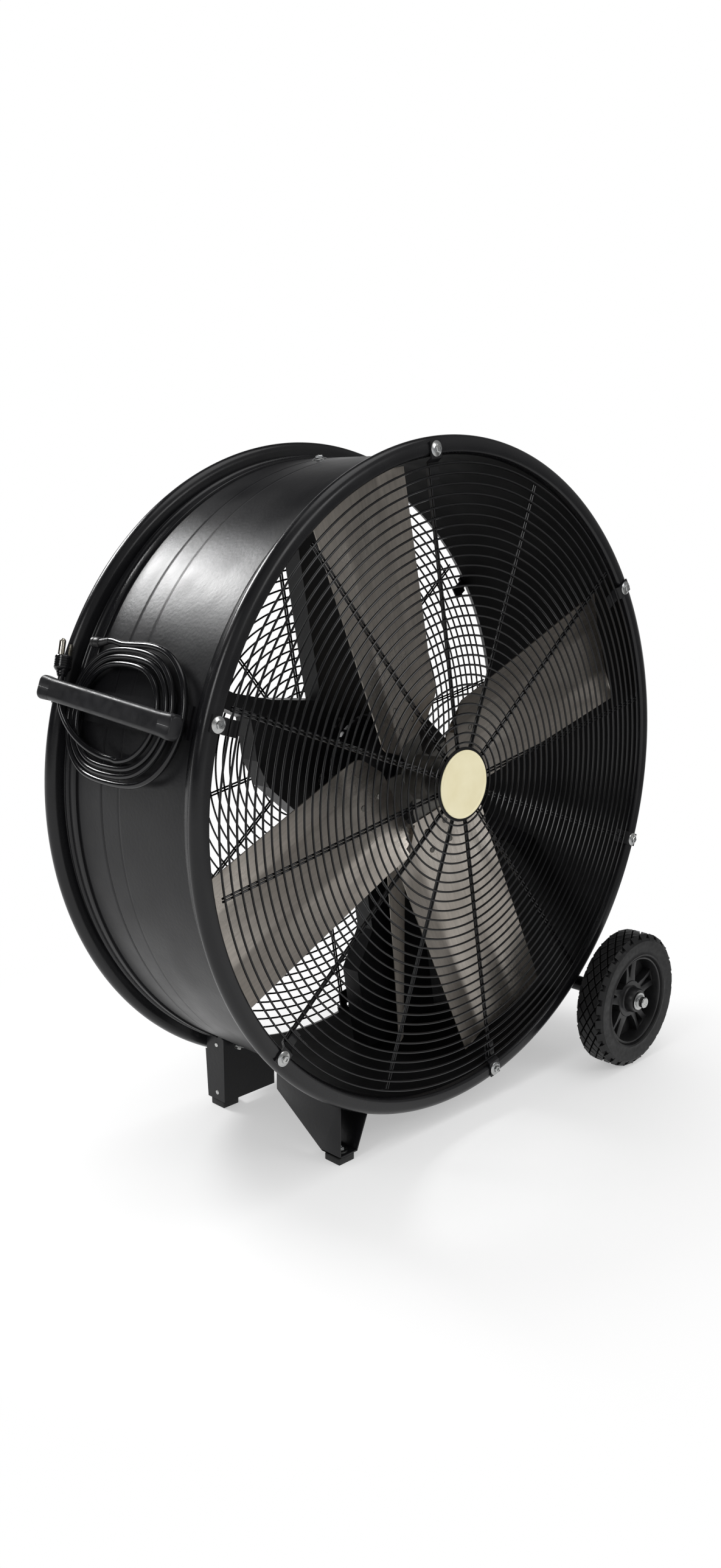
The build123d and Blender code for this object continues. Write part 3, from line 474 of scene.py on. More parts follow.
def dress(
    obj: bpy.types.Object, paint: Paint, body: str, slot: str, replaced: Iterable[str] = ()
) -> bpy.types.Object:
    """Give a finished piece its material, body and the CAD nodes it stands for.

    Args:
        obj: the piece.
        paint: its finish; left as it is where the piece already has several.
        body: the CAD body it rides on.
        slot: the record's material slot.
        replaced: CAD nodes that it stands for.

    Returns:
        The same piece.
    """
    if len({filled for filled in obj.data.materials if filled}) < 2:
        obj.data.materials.clear()
        obj.data.materials.append(paint.material)
    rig.ride(obj, body)
    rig.slot(obj, slot)
    names = list(replaced)
    if names:
        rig.replaces(obj, *names)
    LOG.info("%s: %d faces on %s", obj.name, len(getattr(obj.data, "polygons", [])), body)
    return obj


# ------------------------------------------------------------------------------ nodes
def add_node(
    tree: bpy.types.NodeTree,
    kind: str,
    links: dict[Any, Any] | None = None,
    output: int | str = 0,
    **settings: Any,
) -> Any:
    """Add a node to a tree with its settings, socket values and links.

    Args:
        tree: the node tree.
        kind: the node's type name.
        links: socket name or index to a value, to an output socket to link from, or to a list of those.
        output: the output socket that is wanted.
        settings: attributes of the node.

    Returns:
        That output socket, or the node where it has none.
    """
    made = tree.nodes.new(kind)
    for key, value in settings.items():
        setattr(made, key, value)
    for key, value in (links or {}).items():
        for source in reversed(value) if isinstance(value, list) else [value]:
            if isinstance(source, bpy.types.NodeSocket):
                tree.links.new(source, made.inputs[key])
            else:
                made.inputs[key].default_value = source
    return made.outputs[output] if made.outputs else made


def linear(colour: str) -> tuple[float, float, float, float]:
    """Turn an sRGB hex colour into linear RGBA.

    Args:
        colour: six hex digits with a leading hash.

    Returns:
        The linear colour with alpha 1.
    """
    parts = [int(colour[i : i + 2], 16) / 255 for i in (1, 3, 5)]
    values = [c / 12.92 if c <= 0.04045 else ((c + 0.055) / 1.055) ** 2.4 for c in parts]
    return (values[0], values[1], values[2], 1.0)


def blobs(where: Any, size_mm: float, detail: float) -> dict[str, Any]:
    """Inputs of a noise whose blobs are about a size in millimetres."""
    return {"Vector": where, "Scale": 0.5 / (size_mm * MM), "Detail": detail}


def spread(value: Any, low: float, high: float) -> dict[str, Any]:
    """Inputs of a Map Range that takes the middle of a noise's range to low and high."""
    return {"Value": value, "From Min": 0.3, "From Max": 0.7, "To Min": low, "To Max": high}


# ------------------------------------------------------------------------------ finishes
@dataclass(frozen=True)
class Finish:
    """A surface: a base colour that varies a little, a roughness that varies, and a fine bump."""

    name: str
    colour: str
    second: str
    roughness: float
    roughness_spread: float = 0.06
    metallic: float = 0.0
    ior: float = 1.5
    blotch_mm: float = 60.0
    grain_mm: float = 1.6
    bump_mm: float = 0.05
    stretch: tuple[float, float, float] = (1.0, 1.0, 1.0)

    @property
    def rough_range(self) -> tuple[float, float]:
        """The roughness's two ends."""
        return self.roughness - self.roughness_spread, self.roughness + self.roughness_spread

    def build(self) -> bpy.types.Material:
        """Make the node material for this finish.

        Returns:
            The material.
        """
        material = bpy.data.materials.new(self.name)
        material.use_nodes = True
        material.node_tree.nodes.clear()
        add = partial(add_node, material.node_tree)
        place = add("ShaderNodeTexCoord", output="Object")
        where = add("ShaderNodeMapping", {"Vector": place, "Scale": self.stretch})
        look = {"Metallic": self.metallic, "IOR": self.ior, **self.paint(add, where)}
        add("ShaderNodeOutputMaterial", {"Surface": add("ShaderNodeBsdfPrincipled", look)})
        return material

    def paint(self, add: Callable[..., Any], where: Any) -> dict[str, Any]:
        """Colour from broad blotches, roughness from finer ones, and a grain for the bump.

        Args:
            add: adds a node to the material's tree.
            where: vector socket that the patterns read.

        Returns:
            The shader's sockets by name.
        """
        blotches, patches, grain = (
            add("ShaderNodeTexNoise", blobs(where, size, detail))
            for size, detail in ((self.blotch_mm, 4.0), (self.blotch_mm / 4, 3.0), (self.grain_mm, 2.0)))
        tone = add("ShaderNodeMapRange", spread(blotches, 0.0, 1.0))
        mix = {0: tone, 6: linear(self.colour), 7: linear(self.second)}
        return {
            "Base Color": add("ShaderNodeMix", mix, 2, data_type="RGBA"),
            "Roughness": add("ShaderNodeMapRange", spread(patches, *self.rough_range)),
            "Normal": add("ShaderNodeBump", {"Height": grain, "Distance": self.bump_mm * MM, "Strength": 0.6}),
        }


@dataclass(frozen=True)
class RolledSheet(Finish):
    """Mill-finish sheet: long faint rolling lines along one direction and dull cloudy patches."""

    line_mm: float = 0.8

    def paint(self, add: Callable[..., Any], where: Any) -> dict[str, Any]:
        """Add the rolling lines to the blotches, in colour and bump.

        Args:
            add: adds a node to the material's tree.
            where: vector socket that the patterns read, Z along the lines.

        Returns:
            The shader's sockets by name.
        """
        drawn = add("ShaderNodeMapping", {"Vector": where, "Scale": (1.0, 1.0, 0.04)})
        lines = add("ShaderNodeTexNoise", blobs(drawn, self.line_mm, 2.0))
        clouds = add("ShaderNodeTexNoise", blobs(where, self.blotch_mm, 5.0))
        base, shadow = (
            add("ShaderNodeMix", {
                0: add("ShaderNodeMapRange", spread(noise, 0.0, 1.0)), 6: linear(low), 7: linear(high)},
                2, data_type="RGBA")
            for noise, low, high in ((clouds, self.colour, self.second), (lines, "#8a8a8a", "#ffffff")))
        return {
            "Base Color": add("ShaderNodeMix", {0: 0.25, 6: base, 7: shadow}, 2, data_type="RGBA",
                              blend_type="MULTIPLY"),
            "Roughness": add("ShaderNodeMapRange", spread(clouds, *self.rough_range)),
            "Normal": add("ShaderNodeBump", {"Height": lines, "Distance": self.bump_mm * MM, "Strength": 0.5}),
        }


@dataclass(frozen=True)
class BrushedBlades(RolledSheet):
    """Mill-finish blade sheet: the rolling lines run along each of the four blades."""

    turn: float = 22.4

    def paint(self, add: Callable[..., Any], where: Any) -> dict[str, Any]:
        """Lay the sheet's lines along the blades, then paint it as rolled sheet.

        Args:
            add: adds a node to the material's tree.
            where: vector socket in the frame's axes.

        Returns:
            The shader's sockets by name.
        """
        centred = add("ShaderNodeVectorMath", {0: where, 1: tuple(on_axis())}, operation="SUBTRACT")
        turned = add("ShaderNodeVectorRotate", {
            "Vector": centred, "Axis": tuple(DEEP), "Angle": math.radians(self.turn)})
        x, y, z = add("ShaderNodeSeparateXYZ", {0: turned}).node.outputs
        sides = [add("ShaderNodeMath", {0: value}, operation="ABSOLUTE") for value in (x, z)]
        upright = add("ShaderNodeMath", dict(enumerate(sides)), operation="LESS_THAN")
        across, along = (add("ShaderNodeMix", {0: upright, 2: a, 3: b}) for a, b in ((z, x), (x, z)))
        return super().paint(add, add("ShaderNodeCombineXYZ", {0: across, 1: y, 2: along}))


class Paint(Enum):
    """Every finish on the fan, named for its real material, save the darkened inner coat and groove rubber, which are
    painted shade.
    """

    POWDER_COAT = Finish(
        # Semi-gloss black powder coat: a fine orange peel breaks up its highlights.
        "powder_coat_black", "#101012", "#151517", 0.35, 0.05, ior=1.36, grain_mm=3.0, bump_mm=0.3, blotch_mm=140.0)
    INNER_COAT = Finish(
        # The same paint inside the drum, with a darker colour and a dimmer reflection: painted shade for the drum's
        # shaded inner wall; it is also matt.
        "powder_coat_inside", "#0b0b0c", "#101011", 0.7, 0.05, ior=1.15, grain_mm=3.0, bump_mm=0.1, blotch_mm=140.0)
    RIM_COAT = Finish(
        # The same paint on the rolled rims, smoother where it has been handled.
        "powder_coat_rim", "#0f0f11", "#141416", 0.26, 0.05, ior=1.42, grain_mm=2.4, bump_mm=0.07, blotch_mm=90.0)
    ENAMEL_WIRE = Finish(
        # Dip-enamelled wire: glossy black with slight runs along it.
        "enamel_wire_black", "#0a0a0b", "#0f0f11", 0.19, 0.04, ior=1.42, grain_mm=4.0, bump_mm=0.03, blotch_mm=40.0)
    ZINC_PLATE = Finish(
        # Bright zinc plating: pale, slightly cloudy metal.
        "bright_zinc_plate", "#c9c9c6", "#aeb0b2", 0.24, 0.06, metallic=1.0, blotch_mm=6.0, grain_mm=0.7, bump_mm=0.02)
    BADGE_CREAM = Finish(
        # Cream styrene disc with a soft shine.
        "cream_styrene", "#efe7c4", "#e6dcb4", 0.33, 0.04, grain_mm=1.2, bump_mm=0.01, blotch_mm=25.0)
    BLADE_SHEET = BrushedBlades(
        # Mill-finish galvanised blade sheet: warm grey, cloudy, with fine streaks along each blade.
        "mill_galvanised_blade", "#d2cbc2", "#b2aaa1", 0.31, 0.07, metallic=1.0, blotch_mm=80.0, bump_mm=0.03,
        line_mm=2.2)
    STRIP_SHEET = RolledSheet(
        # The same sheet as a bare upright strip: its lines run up and down.
        "mill_galvanised_strip", "#d8d1c8", "#bfb7ad", 0.5, 0.06, metallic=0.35, blotch_mm=60.0, bump_mm=0.05)
    HUB_CASTING = Finish(
        # Sand-cast aluminium hub: dull grey with a coarse skin.
        "sand_cast_aluminium", "#8b8985", "#75736f", 0.5, 0.08, metallic=1.0, blotch_mm=20.0, grain_mm=1.4,
        bump_mm=0.12)
    MOTOR_ENAMEL = Finish(
        # Sprayed machine enamel on castings.
        "machine_enamel_black", "#17171a", "#1e1e21", 0.42, 0.07, grain_mm=1.2, bump_mm=0.10, blotch_mm=30.0)
    GROUND_STEEL = Finish(
        # Ground shaft steel: bright with fine turning lines.
        "ground_steel", "#b8b8b8", "#9a9a9c", 0.25, 0.06, metallic=1.0, blotch_mm=10.0, grain_mm=0.5, bump_mm=0.01,
        stretch=(1.0, 8.0, 1.0))
    TYRE_RUBBER = Finish(
        # Moulded carbon-black rubber: matt with dusty lighter patches.
        "moulded_tyre_rubber", "#0c0c0d", "#141415", 0.5, 0.08, grain_mm=1.0, bump_mm=0.1, blotch_mm=18.0, ior=1.4)
    GROOVE_RUBBER = Finish(
        # The same rubber at the bottom of the tread, where little light comes: almost black.
        "shaded_groove_rubber", "#020202", "#040404", 0.8, 0.05, grain_mm=1.0, bump_mm=0.05, blotch_mm=18.0, ior=1.2)
    HUB_PLASTIC = Finish(
        # Moulded glass-filled nylon: satin, fine grain.
        "glass_filled_nylon", "#161617", "#1e1e1f", 0.40, 0.06, grain_mm=0.9, bump_mm=0.05, blotch_mm=20.0)
    HANDLE_PLASTIC = Finish(
        # Moulded polypropylene with a fine spark-eroded grain.
        "handle_polypropylene", "#111113", "#17171a", 0.42, 0.06, ior=1.42, grain_mm=1.0, bump_mm=0.10, blotch_mm=30.0)
    FOOT_RUBBER = Finish(
        # Moulded rubber pad, dull.
        "moulded_foot_rubber", "#0e0e0f", "#161616", 0.6, 0.06, grain_mm=1.0, bump_mm=0.05, blotch_mm=12.0)
    CORD_JACKET = Finish(
        # Extruded PVC jacket: glossy, almost smooth.
        "pvc_cord_jacket", "#0d0d0f", "#131315", 0.2, 0.04, grain_mm=5.0, bump_mm=0.05, blotch_mm=30.0)
    PIN_NICKEL = Finish(
        # Nickel-plated brass pin.
        "nickel_plate", "#d8d2c4", "#b9b3a6", 0.2, 0.05, metallic=1.0, blotch_mm=8.0, grain_mm=0.6, bump_mm=0.01)
    LAMINATIONS = Finish(
        # Varnished motor laminations.
        "varnished_laminations", "#4a4a4d", "#3b3b3d", 0.4, 0.08, metallic=1.0, grain_mm=0.6, bump_mm=0.05,
        stretch=(1.0, 12.0, 1.0))

    @property
    def material(self) -> bpy.types.Material:
        """The built material, made on first use."""
        found = bpy.data.materials.get(self.value.name)
        return found if found is not None else self.value.build()


SLOT_FINISH: dict[str, Paint] = {
    "shell_paint": Paint.POWDER_COAT,
    "grille_wire": Paint.ENAMEL_WIRE,
    "zinc": Paint.ZINC_PLATE,
    "badge_cream": Paint.BADGE_CREAM,
    "blade_metal": Paint.HUB_CASTING,
    "motor_paint": Paint.MOTOR_ENAMEL,
    "machined_steel": Paint.GROUND_STEEL,
    "core_steel": Paint.LAMINATIONS,
    "tyre_rubber": Paint.TYRE_RUBBER,
    "hub_plastic": Paint.HUB_PLASTIC,
    "foot_rubber": Paint.FOOT_RUBBER,
    "handle_plastic": Paint.HANDLE_PLASTIC,
    "cord_jacket": Paint.CORD_JACKET,
    "pin_metal": Paint.PIN_NICKEL,
}


# ------------------------------------------------------------------------------ node patterns
@dataclass
class Pattern:
    """A geometry node group with named inputs, run on a mesh of seats and baked to a plain mesh."""

    name: str
    tree: bpy.types.NodeTree = field(init=False)
    entry: bpy.types.Node = field(init=False)

    def __post_init__(self) -> None:
        """Start the group with a geometry input and output."""
        self.tree = bpy.data.node_groups.new(self.name, "GeometryNodeTree")
        for way in ("OUTPUT", "INPUT"):
            self.tree.interface.new_socket("Geometry", in_out=way, socket_type="NodeSocketGeometry")
        self.entry = self.tree.nodes.new("NodeGroupInput")

    def ask(self, name: str, kind: str = "Float") -> Any:
        """Add a named input and return its socket."""
        self.tree.interface.new_socket(name, in_out="INPUT", socket_type=f"NodeSocket{kind}")
        return self.entry.outputs[name]

    def add(self, kind: str, links: dict[Any, Any] | None = None, output: int | str = 0, **settings: Any) -> Any:
        """Add a node to the group and return one of its output sockets."""
        return add_node(self.tree, kind, links, output, **settings)

    def spread_out(self, points: Any, model: Any, **links: Any) -> Any:
        """Set a model on points and make the copies real; returns their socket."""
        placed = self.add("GeometryNodeInstanceOnPoints", {"Points": points, "Instance": model, **links})
        return self.add("GeometryNodeRealizeInstances", {0: placed})

    def close(self, model: Any, wire: Any = None) -> None:
        """End the group: set the model on every seat, give it its material and hand it out.

        Args:
            model: socket of a mesh, or of curves.
            wire: socket of the diameter of the round wire that curves become.
        """
        turn = self.add("GeometryNodeInputNamedAttribute", {"Name": "turn"}, data_type="QUATERNION")
        placed = self.spread_out(self.entry.outputs["Geometry"], model, Rotation=turn)
        if wire is not None:
            half = self.add("ShaderNodeMath", {0: wire, 1: 0.5}, operation="MULTIPLY")
            section = self.add("GeometryNodeCurvePrimitiveCircle", {"Resolution": 8, "Radius": half}, "Curve")
            placed = self.add(
                "GeometryNodeCurveToMesh", {"Curve": placed, "Profile Curve": section, "Fill Caps": True})
        paint = self.ask("Material", "Material")
        self.add("NodeGroupOutput", {0: self.add("GeometryNodeSetMaterial", {"Geometry": placed, "Material": paint})})

    def run(self, name: str, seats: Sequence[Matrix], values: dict[str, Any]) -> bpy.types.Object:
        """Run the group on seats.

        Args:
            name: the piece's name.
            seats: one matrix for each point; its turn is kept in the attribute "turn".
            values: the group's inputs by name.

        Returns:
            The baked piece.
        """
        mesh = bpy.data.meshes.new(name)
        mesh.from_pydata([tuple(seat.translation) for seat in seats], [], [])
        turns = mesh.attributes.new("turn", "QUATERNION", "POINT")
        for slot, seat in zip(turns.data, seats):
            slot.value = tuple(seat.to_quaternion())
        base = link(name, mesh)
        modifier = base.modifiers.new("pattern", "NODES")
        modifier.node_group = self.tree
        for item in self.tree.interface.items_tree:
            if item.item_type == "SOCKET" and item.in_out == "INPUT" and item.name in values:
                modifier[item.identifier] = values[item.name]
        bpy.context.view_layer.update()
        made = bake(base)
        shade(made.data, 35.0)
        return made


@cache
def copies_pattern() -> Pattern:
    """Make the pattern that sets one model on every seat, turned as the seat is; made once.

    Returns:
        The pattern.
    """
    pattern = Pattern("copies_on_seats")
    pattern.close(pattern.add("GeometryNodeObjectInfo", {"Object": pattern.ask("Model", "Object")}, "Geometry"))
    return pattern


def copies(name: str, model: bpy.types.Object, seats: Sequence[Matrix], paint: Paint) -> bpy.types.Object:
    """Set copies of a model on seats.

    Args:
        name: the piece's name.
        model: the model, made at the origin; it is removed.
        seats: a matrix for each copy.
        paint: the copies' finish.

    Returns:
        The baked piece.
    """
    made = copies_pattern().run(name, seats, {"Model": model, "Material": paint.material})
    bpy.data.objects.remove(model)
    return made


# ------------------------------------------------------------------------------ studio
@dataclass
class Studio:
    """Camera at the photograph's place, a white floor and surround, and soft lamps."""

    camera_at: tuple[float, float, float] = (-1.5966, -1.5453, 1.0302)
    yaw: float = 45.28
    pitch: float = 11.9
    focal_px: float = 2147.6
    long_side_px: float = 2576.0
    sensor_mm: float = 36.0
    floor_half: float = 30.0

    def build(self) -> None:
        """Make the camera, the floor, the world and the lamps."""
        self.camera()
        self.floor()
        self.world()
        # The strip lamp behind lies where the drum's upper left mirrors it; the others are broad and soft.
        for name, at, target, size, power in (
            ("behind", (-0.78, 2.44, 2.7), (-0.4, 0.0, 0.9), (0.95, 0.75), 62.0),
            ("left", (-3.0, -0.6, 2.2), (-0.2, -0.1, 0.6), (0.7, 1.2), 20.0),
            ("front", (0.9, -3.0, 2.0), (0.0, 0.0, 0.5), (1.2, 1.2), 14.0),
            ("above", (0.2, -0.2, 3.4), (0.0, 0.0, 0.5), (1.8, 1.8), 16.0),
        ):
            data = bpy.data.lights.new(name, "AREA")
            data.shape = "RECTANGLE"
            data.size, data.size_y = size
            data.energy = power
            self.aim(link(name, data), at, Vector(target) - Vector(at))
        LOG.info("studio ready")

    def aim(self, obj: bpy.types.Object, at: Sequence[float], way: Vector) -> None:
        """Place a lamp or camera at a point, looking along a direction.

        Args:
            obj: the lamp or camera.
            at: the point.
            way: the direction.
        """
        obj.location = at
        obj.rotation_mode = "QUATERNION"
        obj.rotation_quaternion = way.to_track_quat("-Z", "Y")

    def camera(self) -> None:
        """Place the camera by yaw and pitch, with the photograph's focal length."""
        data = bpy.data.cameras.new("camera")
        data.sensor_width = self.sensor_mm
        data.lens = self.focal_px / self.long_side_px * self.sensor_mm
        data.clip_start, data.clip_end = 0.05, 100.0
        yaw, pitch = math.radians(self.yaw), math.radians(self.pitch)
        way = Vector((math.sin(yaw) * math.cos(pitch), math.cos(yaw) * math.cos(pitch), -math.sin(pitch)))
        made = link("camera", data)
        self.aim(made, self.camera_at, way)
        bpy.context.scene.camera = made
        bpy.context.scene.view_settings.view_transform = "Standard"

    def seen(self, add: Callable[..., Any]) -> Any:
        """Socket that is 1 for camera, mirror and see-through rays.

        Args:
            add: adds a node to the tree.

        Returns:
            The value socket.
        """
        path = add("ShaderNodeLightPath").node.outputs
        bright = add("ShaderNodeMath", {0: path["Is Glossy Ray"], 1: path["Is Transmission Ray"]}, operation="MAXIMUM")
        return add("ShaderNodeMath", {0: path["Is Camera Ray"], 1: bright}, operation="MAXIMUM")

    def tone(
        self,
        add: Callable[..., Any],
        where: Any,
        backdrop: tuple[tuple[float, ...], float, float],
        room: tuple[tuple[float, ...], float, float, str, str],
    ) -> Any:
        """Colour socket: white to the camera and towards the backdrop, and greys otherwise, which are the surround's
        dimmer light in the world and painted shade on the floor.

        Args:
            add: adds a node to the tree.
            where: vector socket of the place or direction.
            backdrop: the direction it stands in, and where along it the white begins and is full.
            room: the direction the greys change in, where along it they begin and end, and the two greys.

        Returns:
            The colour socket.
        """
        white, grey = (
            add("ShaderNodeMapRange", {
                "Value": add("ShaderNodeVectorMath", {0: where, 1: way}, "Value", operation="DOT_PRODUCT"),
                "From Min": low, "From Max": high}, interpolation_type="SMOOTHSTEP")
            for way, low, high in (backdrop, room[:3]))
        seen = add("ShaderNodeLightPath", output="Is Camera Ray")
        plain = add("ShaderNodeMath", {0: white, 1: seen}, operation="MAXIMUM")
        greys = add("ShaderNodeMix", {0: grey, 6: linear(room[3]), 7: linear(room[4])}, 2, data_type="RGBA")
        return add("ShaderNodeMix", {0: plain, 6: greys, 7: linear("#ffffff")}, 2, data_type="RGBA")

    def floor(self) -> None:
        """A wide floor: white paint that holds the fan's shadow near it, fading into plain white; in mirrors it greys
        towards +X as painted shade.
        """
        half = self.floor_half
        made = mesh_object("floor", [(-half, -half, 0), (half, -half, 0), (half, half, 0), (-half, half, 0)],
                           [(0, 1, 2, 3)])
        material = bpy.data.materials.new("floor_white")
        material.use_nodes = True
        material.node_tree.nodes.clear()
        add = partial(add_node, material.node_tree)
        place = add("ShaderNodeTexCoord", output="Object")
        fade = add("ShaderNodeMapRange", {
            "Value": add("ShaderNodeVectorMath", {0: place}, "Value", operation="LENGTH"),
            "From Min": 0.45, "From Max": 1.0, "To Min": 0.38, "To Max": 1.0}, interpolation_type="SMOOTHSTEP")
        amount = add("ShaderNodeMath", {0: fade, 1: self.seen(add)}, operation="MULTIPLY")
        paint = add("ShaderNodeBsdfPrincipled", {"Base Color": linear("#fafafa"), "Roughness": 0.75})
        # In mirrors the floor turns grey towards +X: painted shade on its less lit side. The camera still sees it
        # white.
        colour = self.tone(
            add, place, ((0.42, 0.9, 0.0), 0.3, 1.5), ((1.0, 0.0, 0.0), 0.6, 1.8, "#f0f0f0", "#747474"))
        glow = add("ShaderNodeEmission", {"Color": colour, "Strength": 1.0})
        add("ShaderNodeOutputMaterial", {"Surface": add("ShaderNodeMixShader", {0: amount, 1: paint, 2: glow})})
        made.data.materials.append(material)
        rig.stage(made)

    def world(self) -> None:
        """A white surround, seen white by the camera; mirrored metal sees it white behind and dim in front."""
        world = bpy.data.worlds.new("surround")
        bpy.context.scene.world = world
        world.use_nodes = True
        world.node_tree.nodes.clear()
        add = partial(add_node, world.node_tree)
        way = add("ShaderNodeTexCoord", output="Generated")
        colour = self.tone(
            add, way, ((0.62, 0.62, -0.48), 0.5, 0.85), ((0.35, -0.93, 0.0), -0.2, 0.7, "#242424", "#949494"))
        light, shown = (
            add("ShaderNodeBackground", {"Color": value, "Strength": strength})
            for value, strength in ((linear("#ffffff"), 0.75), (colour, 1.0)))
        both = add("ShaderNodeMixShader", {0: self.seen(add), 1: light, 2: shown})
        add("ShaderNodeOutputWorld", {"Surface": both})


# ------------------------------------------------------------------------------ drum and rims
@dataclass
class Drum:
    """The rolled drum with its creases, and the two rims with their rolled beads."""

    radius: float = 527.0
    wall: float = 2.0
    half: float = 177.5
    creases: tuple[tuple[float, float], ...] = ((70.0, 0.55), (26.0, 0.3))
    bead: float = 542.0
    roll: float = 13.0
    steps: int = 288

    def build(self) -> None:
        """Make the shell and both rims."""
        self.shell()
        for end in End:
            self.rim(end)

    def shell(self) -> None:
        """Make the shell, with a loop of support on each side of every crease, and an inner face in a darker, duller
        coat that is painted shade.
        """
        profile = [(self.radius, self.half)]
        for y, depth in self.creases:
            profile += [(self.radius, y + 5.0), (self.radius, y + 1.8), (self.radius - depth, y + 0.5)]
            profile += [(self.radius - depth, y - 0.3), (self.radius, y - 0.9), (self.radius, y - 4.0)]
        inner = self.radius - self.wall
        profile += [(self.radius, -self.half), (inner, -self.half), (inner, self.half)]
        made = lathe("drum_skin", scaled(profile), on_axis(), DEEP, self.steps, 60.0)
        for paint in (Paint.POWDER_COAT, Paint.INNER_COAT):
            made.data.materials.append(paint.material)
        # Faces inside the drum take the darker coat: painted shade on the inner wall.
        for face in made.data.polygons:
            radius = (face.center - on_axis(face.center.y)).length
            face.material_index = int(radius < (self.radius - self.wall / 2) * MM)
        dress(made, Paint.POWDER_COAT, "frame", "shell_paint", ["drum_shell"])

    def rim(self, end: End) -> None:
        """Make one rim: a band, a small swage beside the bead, and the rolled bead.

        Args:
            end: the drum's end that it closes.
        """
        profile = [(self.radius + 0.2, 133.5), (self.radius + 3.0, 133.7), (self.radius + 4.0, 135.0), (531.0, 150.0)]
        profile += [(r, y) for y, r in arc((156.5, 528.0), 5.6, 150, 30, 8)]
        profile += [(529.6, 163.2), (530.6, 164.7)]
        profile += [(r, y) for y, r in arc((self.half, self.bead), self.roll, 180, 0, 20)]
        profile += [(533.0, 190.5), (530.0, 189.4), (self.radius + 0.2, 186.0)]
        made = lathe(f"{end.label}_rolled_rim", scaled(profile), on_axis(), end.value * DEEP, self.steps, 40.0)
        dress(made, Paint.RIM_COAT, "frame", "shell_paint", [f"{end.label}_rim"])


# ------------------------------------------------------------------------------ grilles
@dataclass
class Guard:
    """One end's wire guard: welded hoops, paired spokes and a hub plate."""

    end: End
    wire: float = 3.5
    first: float = 69.0
    last: float = 512.8
    count: int = 29
    spokes: int = 12
    turn: float = 40.0
    inner: float = 45.0
    gap: float = 1.4
    hub: float = 62.0

    @property
    def face(self) -> float:
        """How far the hoops' middles stand from the drum's middle, in millimetres."""
        low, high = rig.box(f"{self.end.label}_grille_rings")
        return (low[1] + high[1]) / 2 / MM

    def build(self) -> None:
        """Make the hoops, the spokes and the hub plate."""
        label, shared = self.end.label, {"Wire": self.wire * MM, "Material": Paint.ENAMEL_WIRE.material}
        flat = [seat_at(on_axis(self.face * MM), -DEEP, Vector((1, 0, 0)))]
        hoops = self.hoops().run(f"{label}_guard_hoops", flat, {
            **shared, "First": self.first * MM, "Last": self.last * MM, "Count": self.count})
        dress(hoops, Paint.ENAMEL_WIRE, "frame", "grille_wire", [f"{label}_grille_rings"])
        behind = on_axis((self.face - self.end.value * self.wire) * MM)
        rays = [seat_at(behind, -DEEP, outward(self.turn + 360 / self.spokes * k)) for k in range(self.spokes)]
        spokes = self.rays().run(f"{label}_guard_spokes", rays, {
            **shared, "Inner": self.inner * MM, "Outer": (self.last + 2.0) * MM,
            "Side": (self.wire + self.gap) / 2 * MM})
        dress(spokes, Paint.ENAMEL_WIRE, "frame", "grille_wire", [f"{label}_grille_spokes"])
        self.hub_plate()

    def hoops(self) -> Pattern:
        """Pattern of concentric hoops of round wire about each seat.

        Returns:
            The pattern.
        """
        pattern = Pattern(f"{self.end.label}_hoops")
        first, last = pattern.ask("First"), pattern.ask("Last")
        count, wire = pattern.ask("Count", "Int"), pattern.ask("Wire")
        row = pattern.add("GeometryNodeMeshLine", {"Count": count, "Offset": (0.0, 0.0, 0.0)})
        reach = pattern.add("ShaderNodeMath", {0: last, 1: first}, operation="SUBTRACT")
        gaps = pattern.add("ShaderNodeMath", {0: count, 1: 1.0}, operation="SUBTRACT")
        pitch = pattern.add("ShaderNodeMath", {0: reach, 1: gaps}, operation="DIVIDE")
        steps = pattern.add("ShaderNodeMath", {0: pitch, 1: pattern.add("GeometryNodeInputIndex")},
                            operation="MULTIPLY")
        radius = pattern.add("ShaderNodeMath", {0: first, 1: steps}, operation="ADD")
        ring = pattern.add("GeometryNodeCurvePrimitiveCircle", {"Resolution": 192, "Radius": 1.0}, "Curve")
        size = pattern.add("ShaderNodeCombineXYZ", {0: radius, 1: radius, 2: radius})
        pattern.close(pattern.spread_out(row, ring, Scale=size), wire)
        return pattern

    def rays(self) -> Pattern:
        """Pattern of a pair of straight wires along each seat's X.

        Returns:
            The pattern.
        """
        pattern = Pattern(f"{self.end.label}_rays")
        inner, outer, side, wire = (pattern.ask(name) for name in ("Inner", "Outer", "Side", "Wire"))
        pair = []
        for sign in (-1.0, 1.0):
            shift = pattern.add("ShaderNodeMath", {0: side, 1: sign}, operation="MULTIPLY")
            start, end = (pattern.add("ShaderNodeCombineXYZ", {0: x, 1: shift}) for x in (inner, outer))
            pair.append(pattern.add("GeometryNodeCurvePrimitiveLine", {"Start": start, "End": end}))
        pattern.close(pattern.add("GeometryNodeJoinGeometry", {"Geometry": pair}), wire)
        return pattern

    def hub_plate(self) -> None:
        """Make the pressed disc that the inner ends of the spokes are welded to."""
        profile = scaled([(0, -1.75), (self.hub - 1.0, -1.75), (self.hub, -0.8), (self.hub, 0.9),
                          (self.hub - 1.0, 1.75), (0, 1.75)])
        made = lathe(f"{self.end.label}_hub_disc", profile, on_axis(self.face * MM), self.end.value * DEEP, 96)
        dress(made, Paint.ENAMEL_WIRE, "frame", "grille_wire", [f"{self.end.label}_hub_plate"])


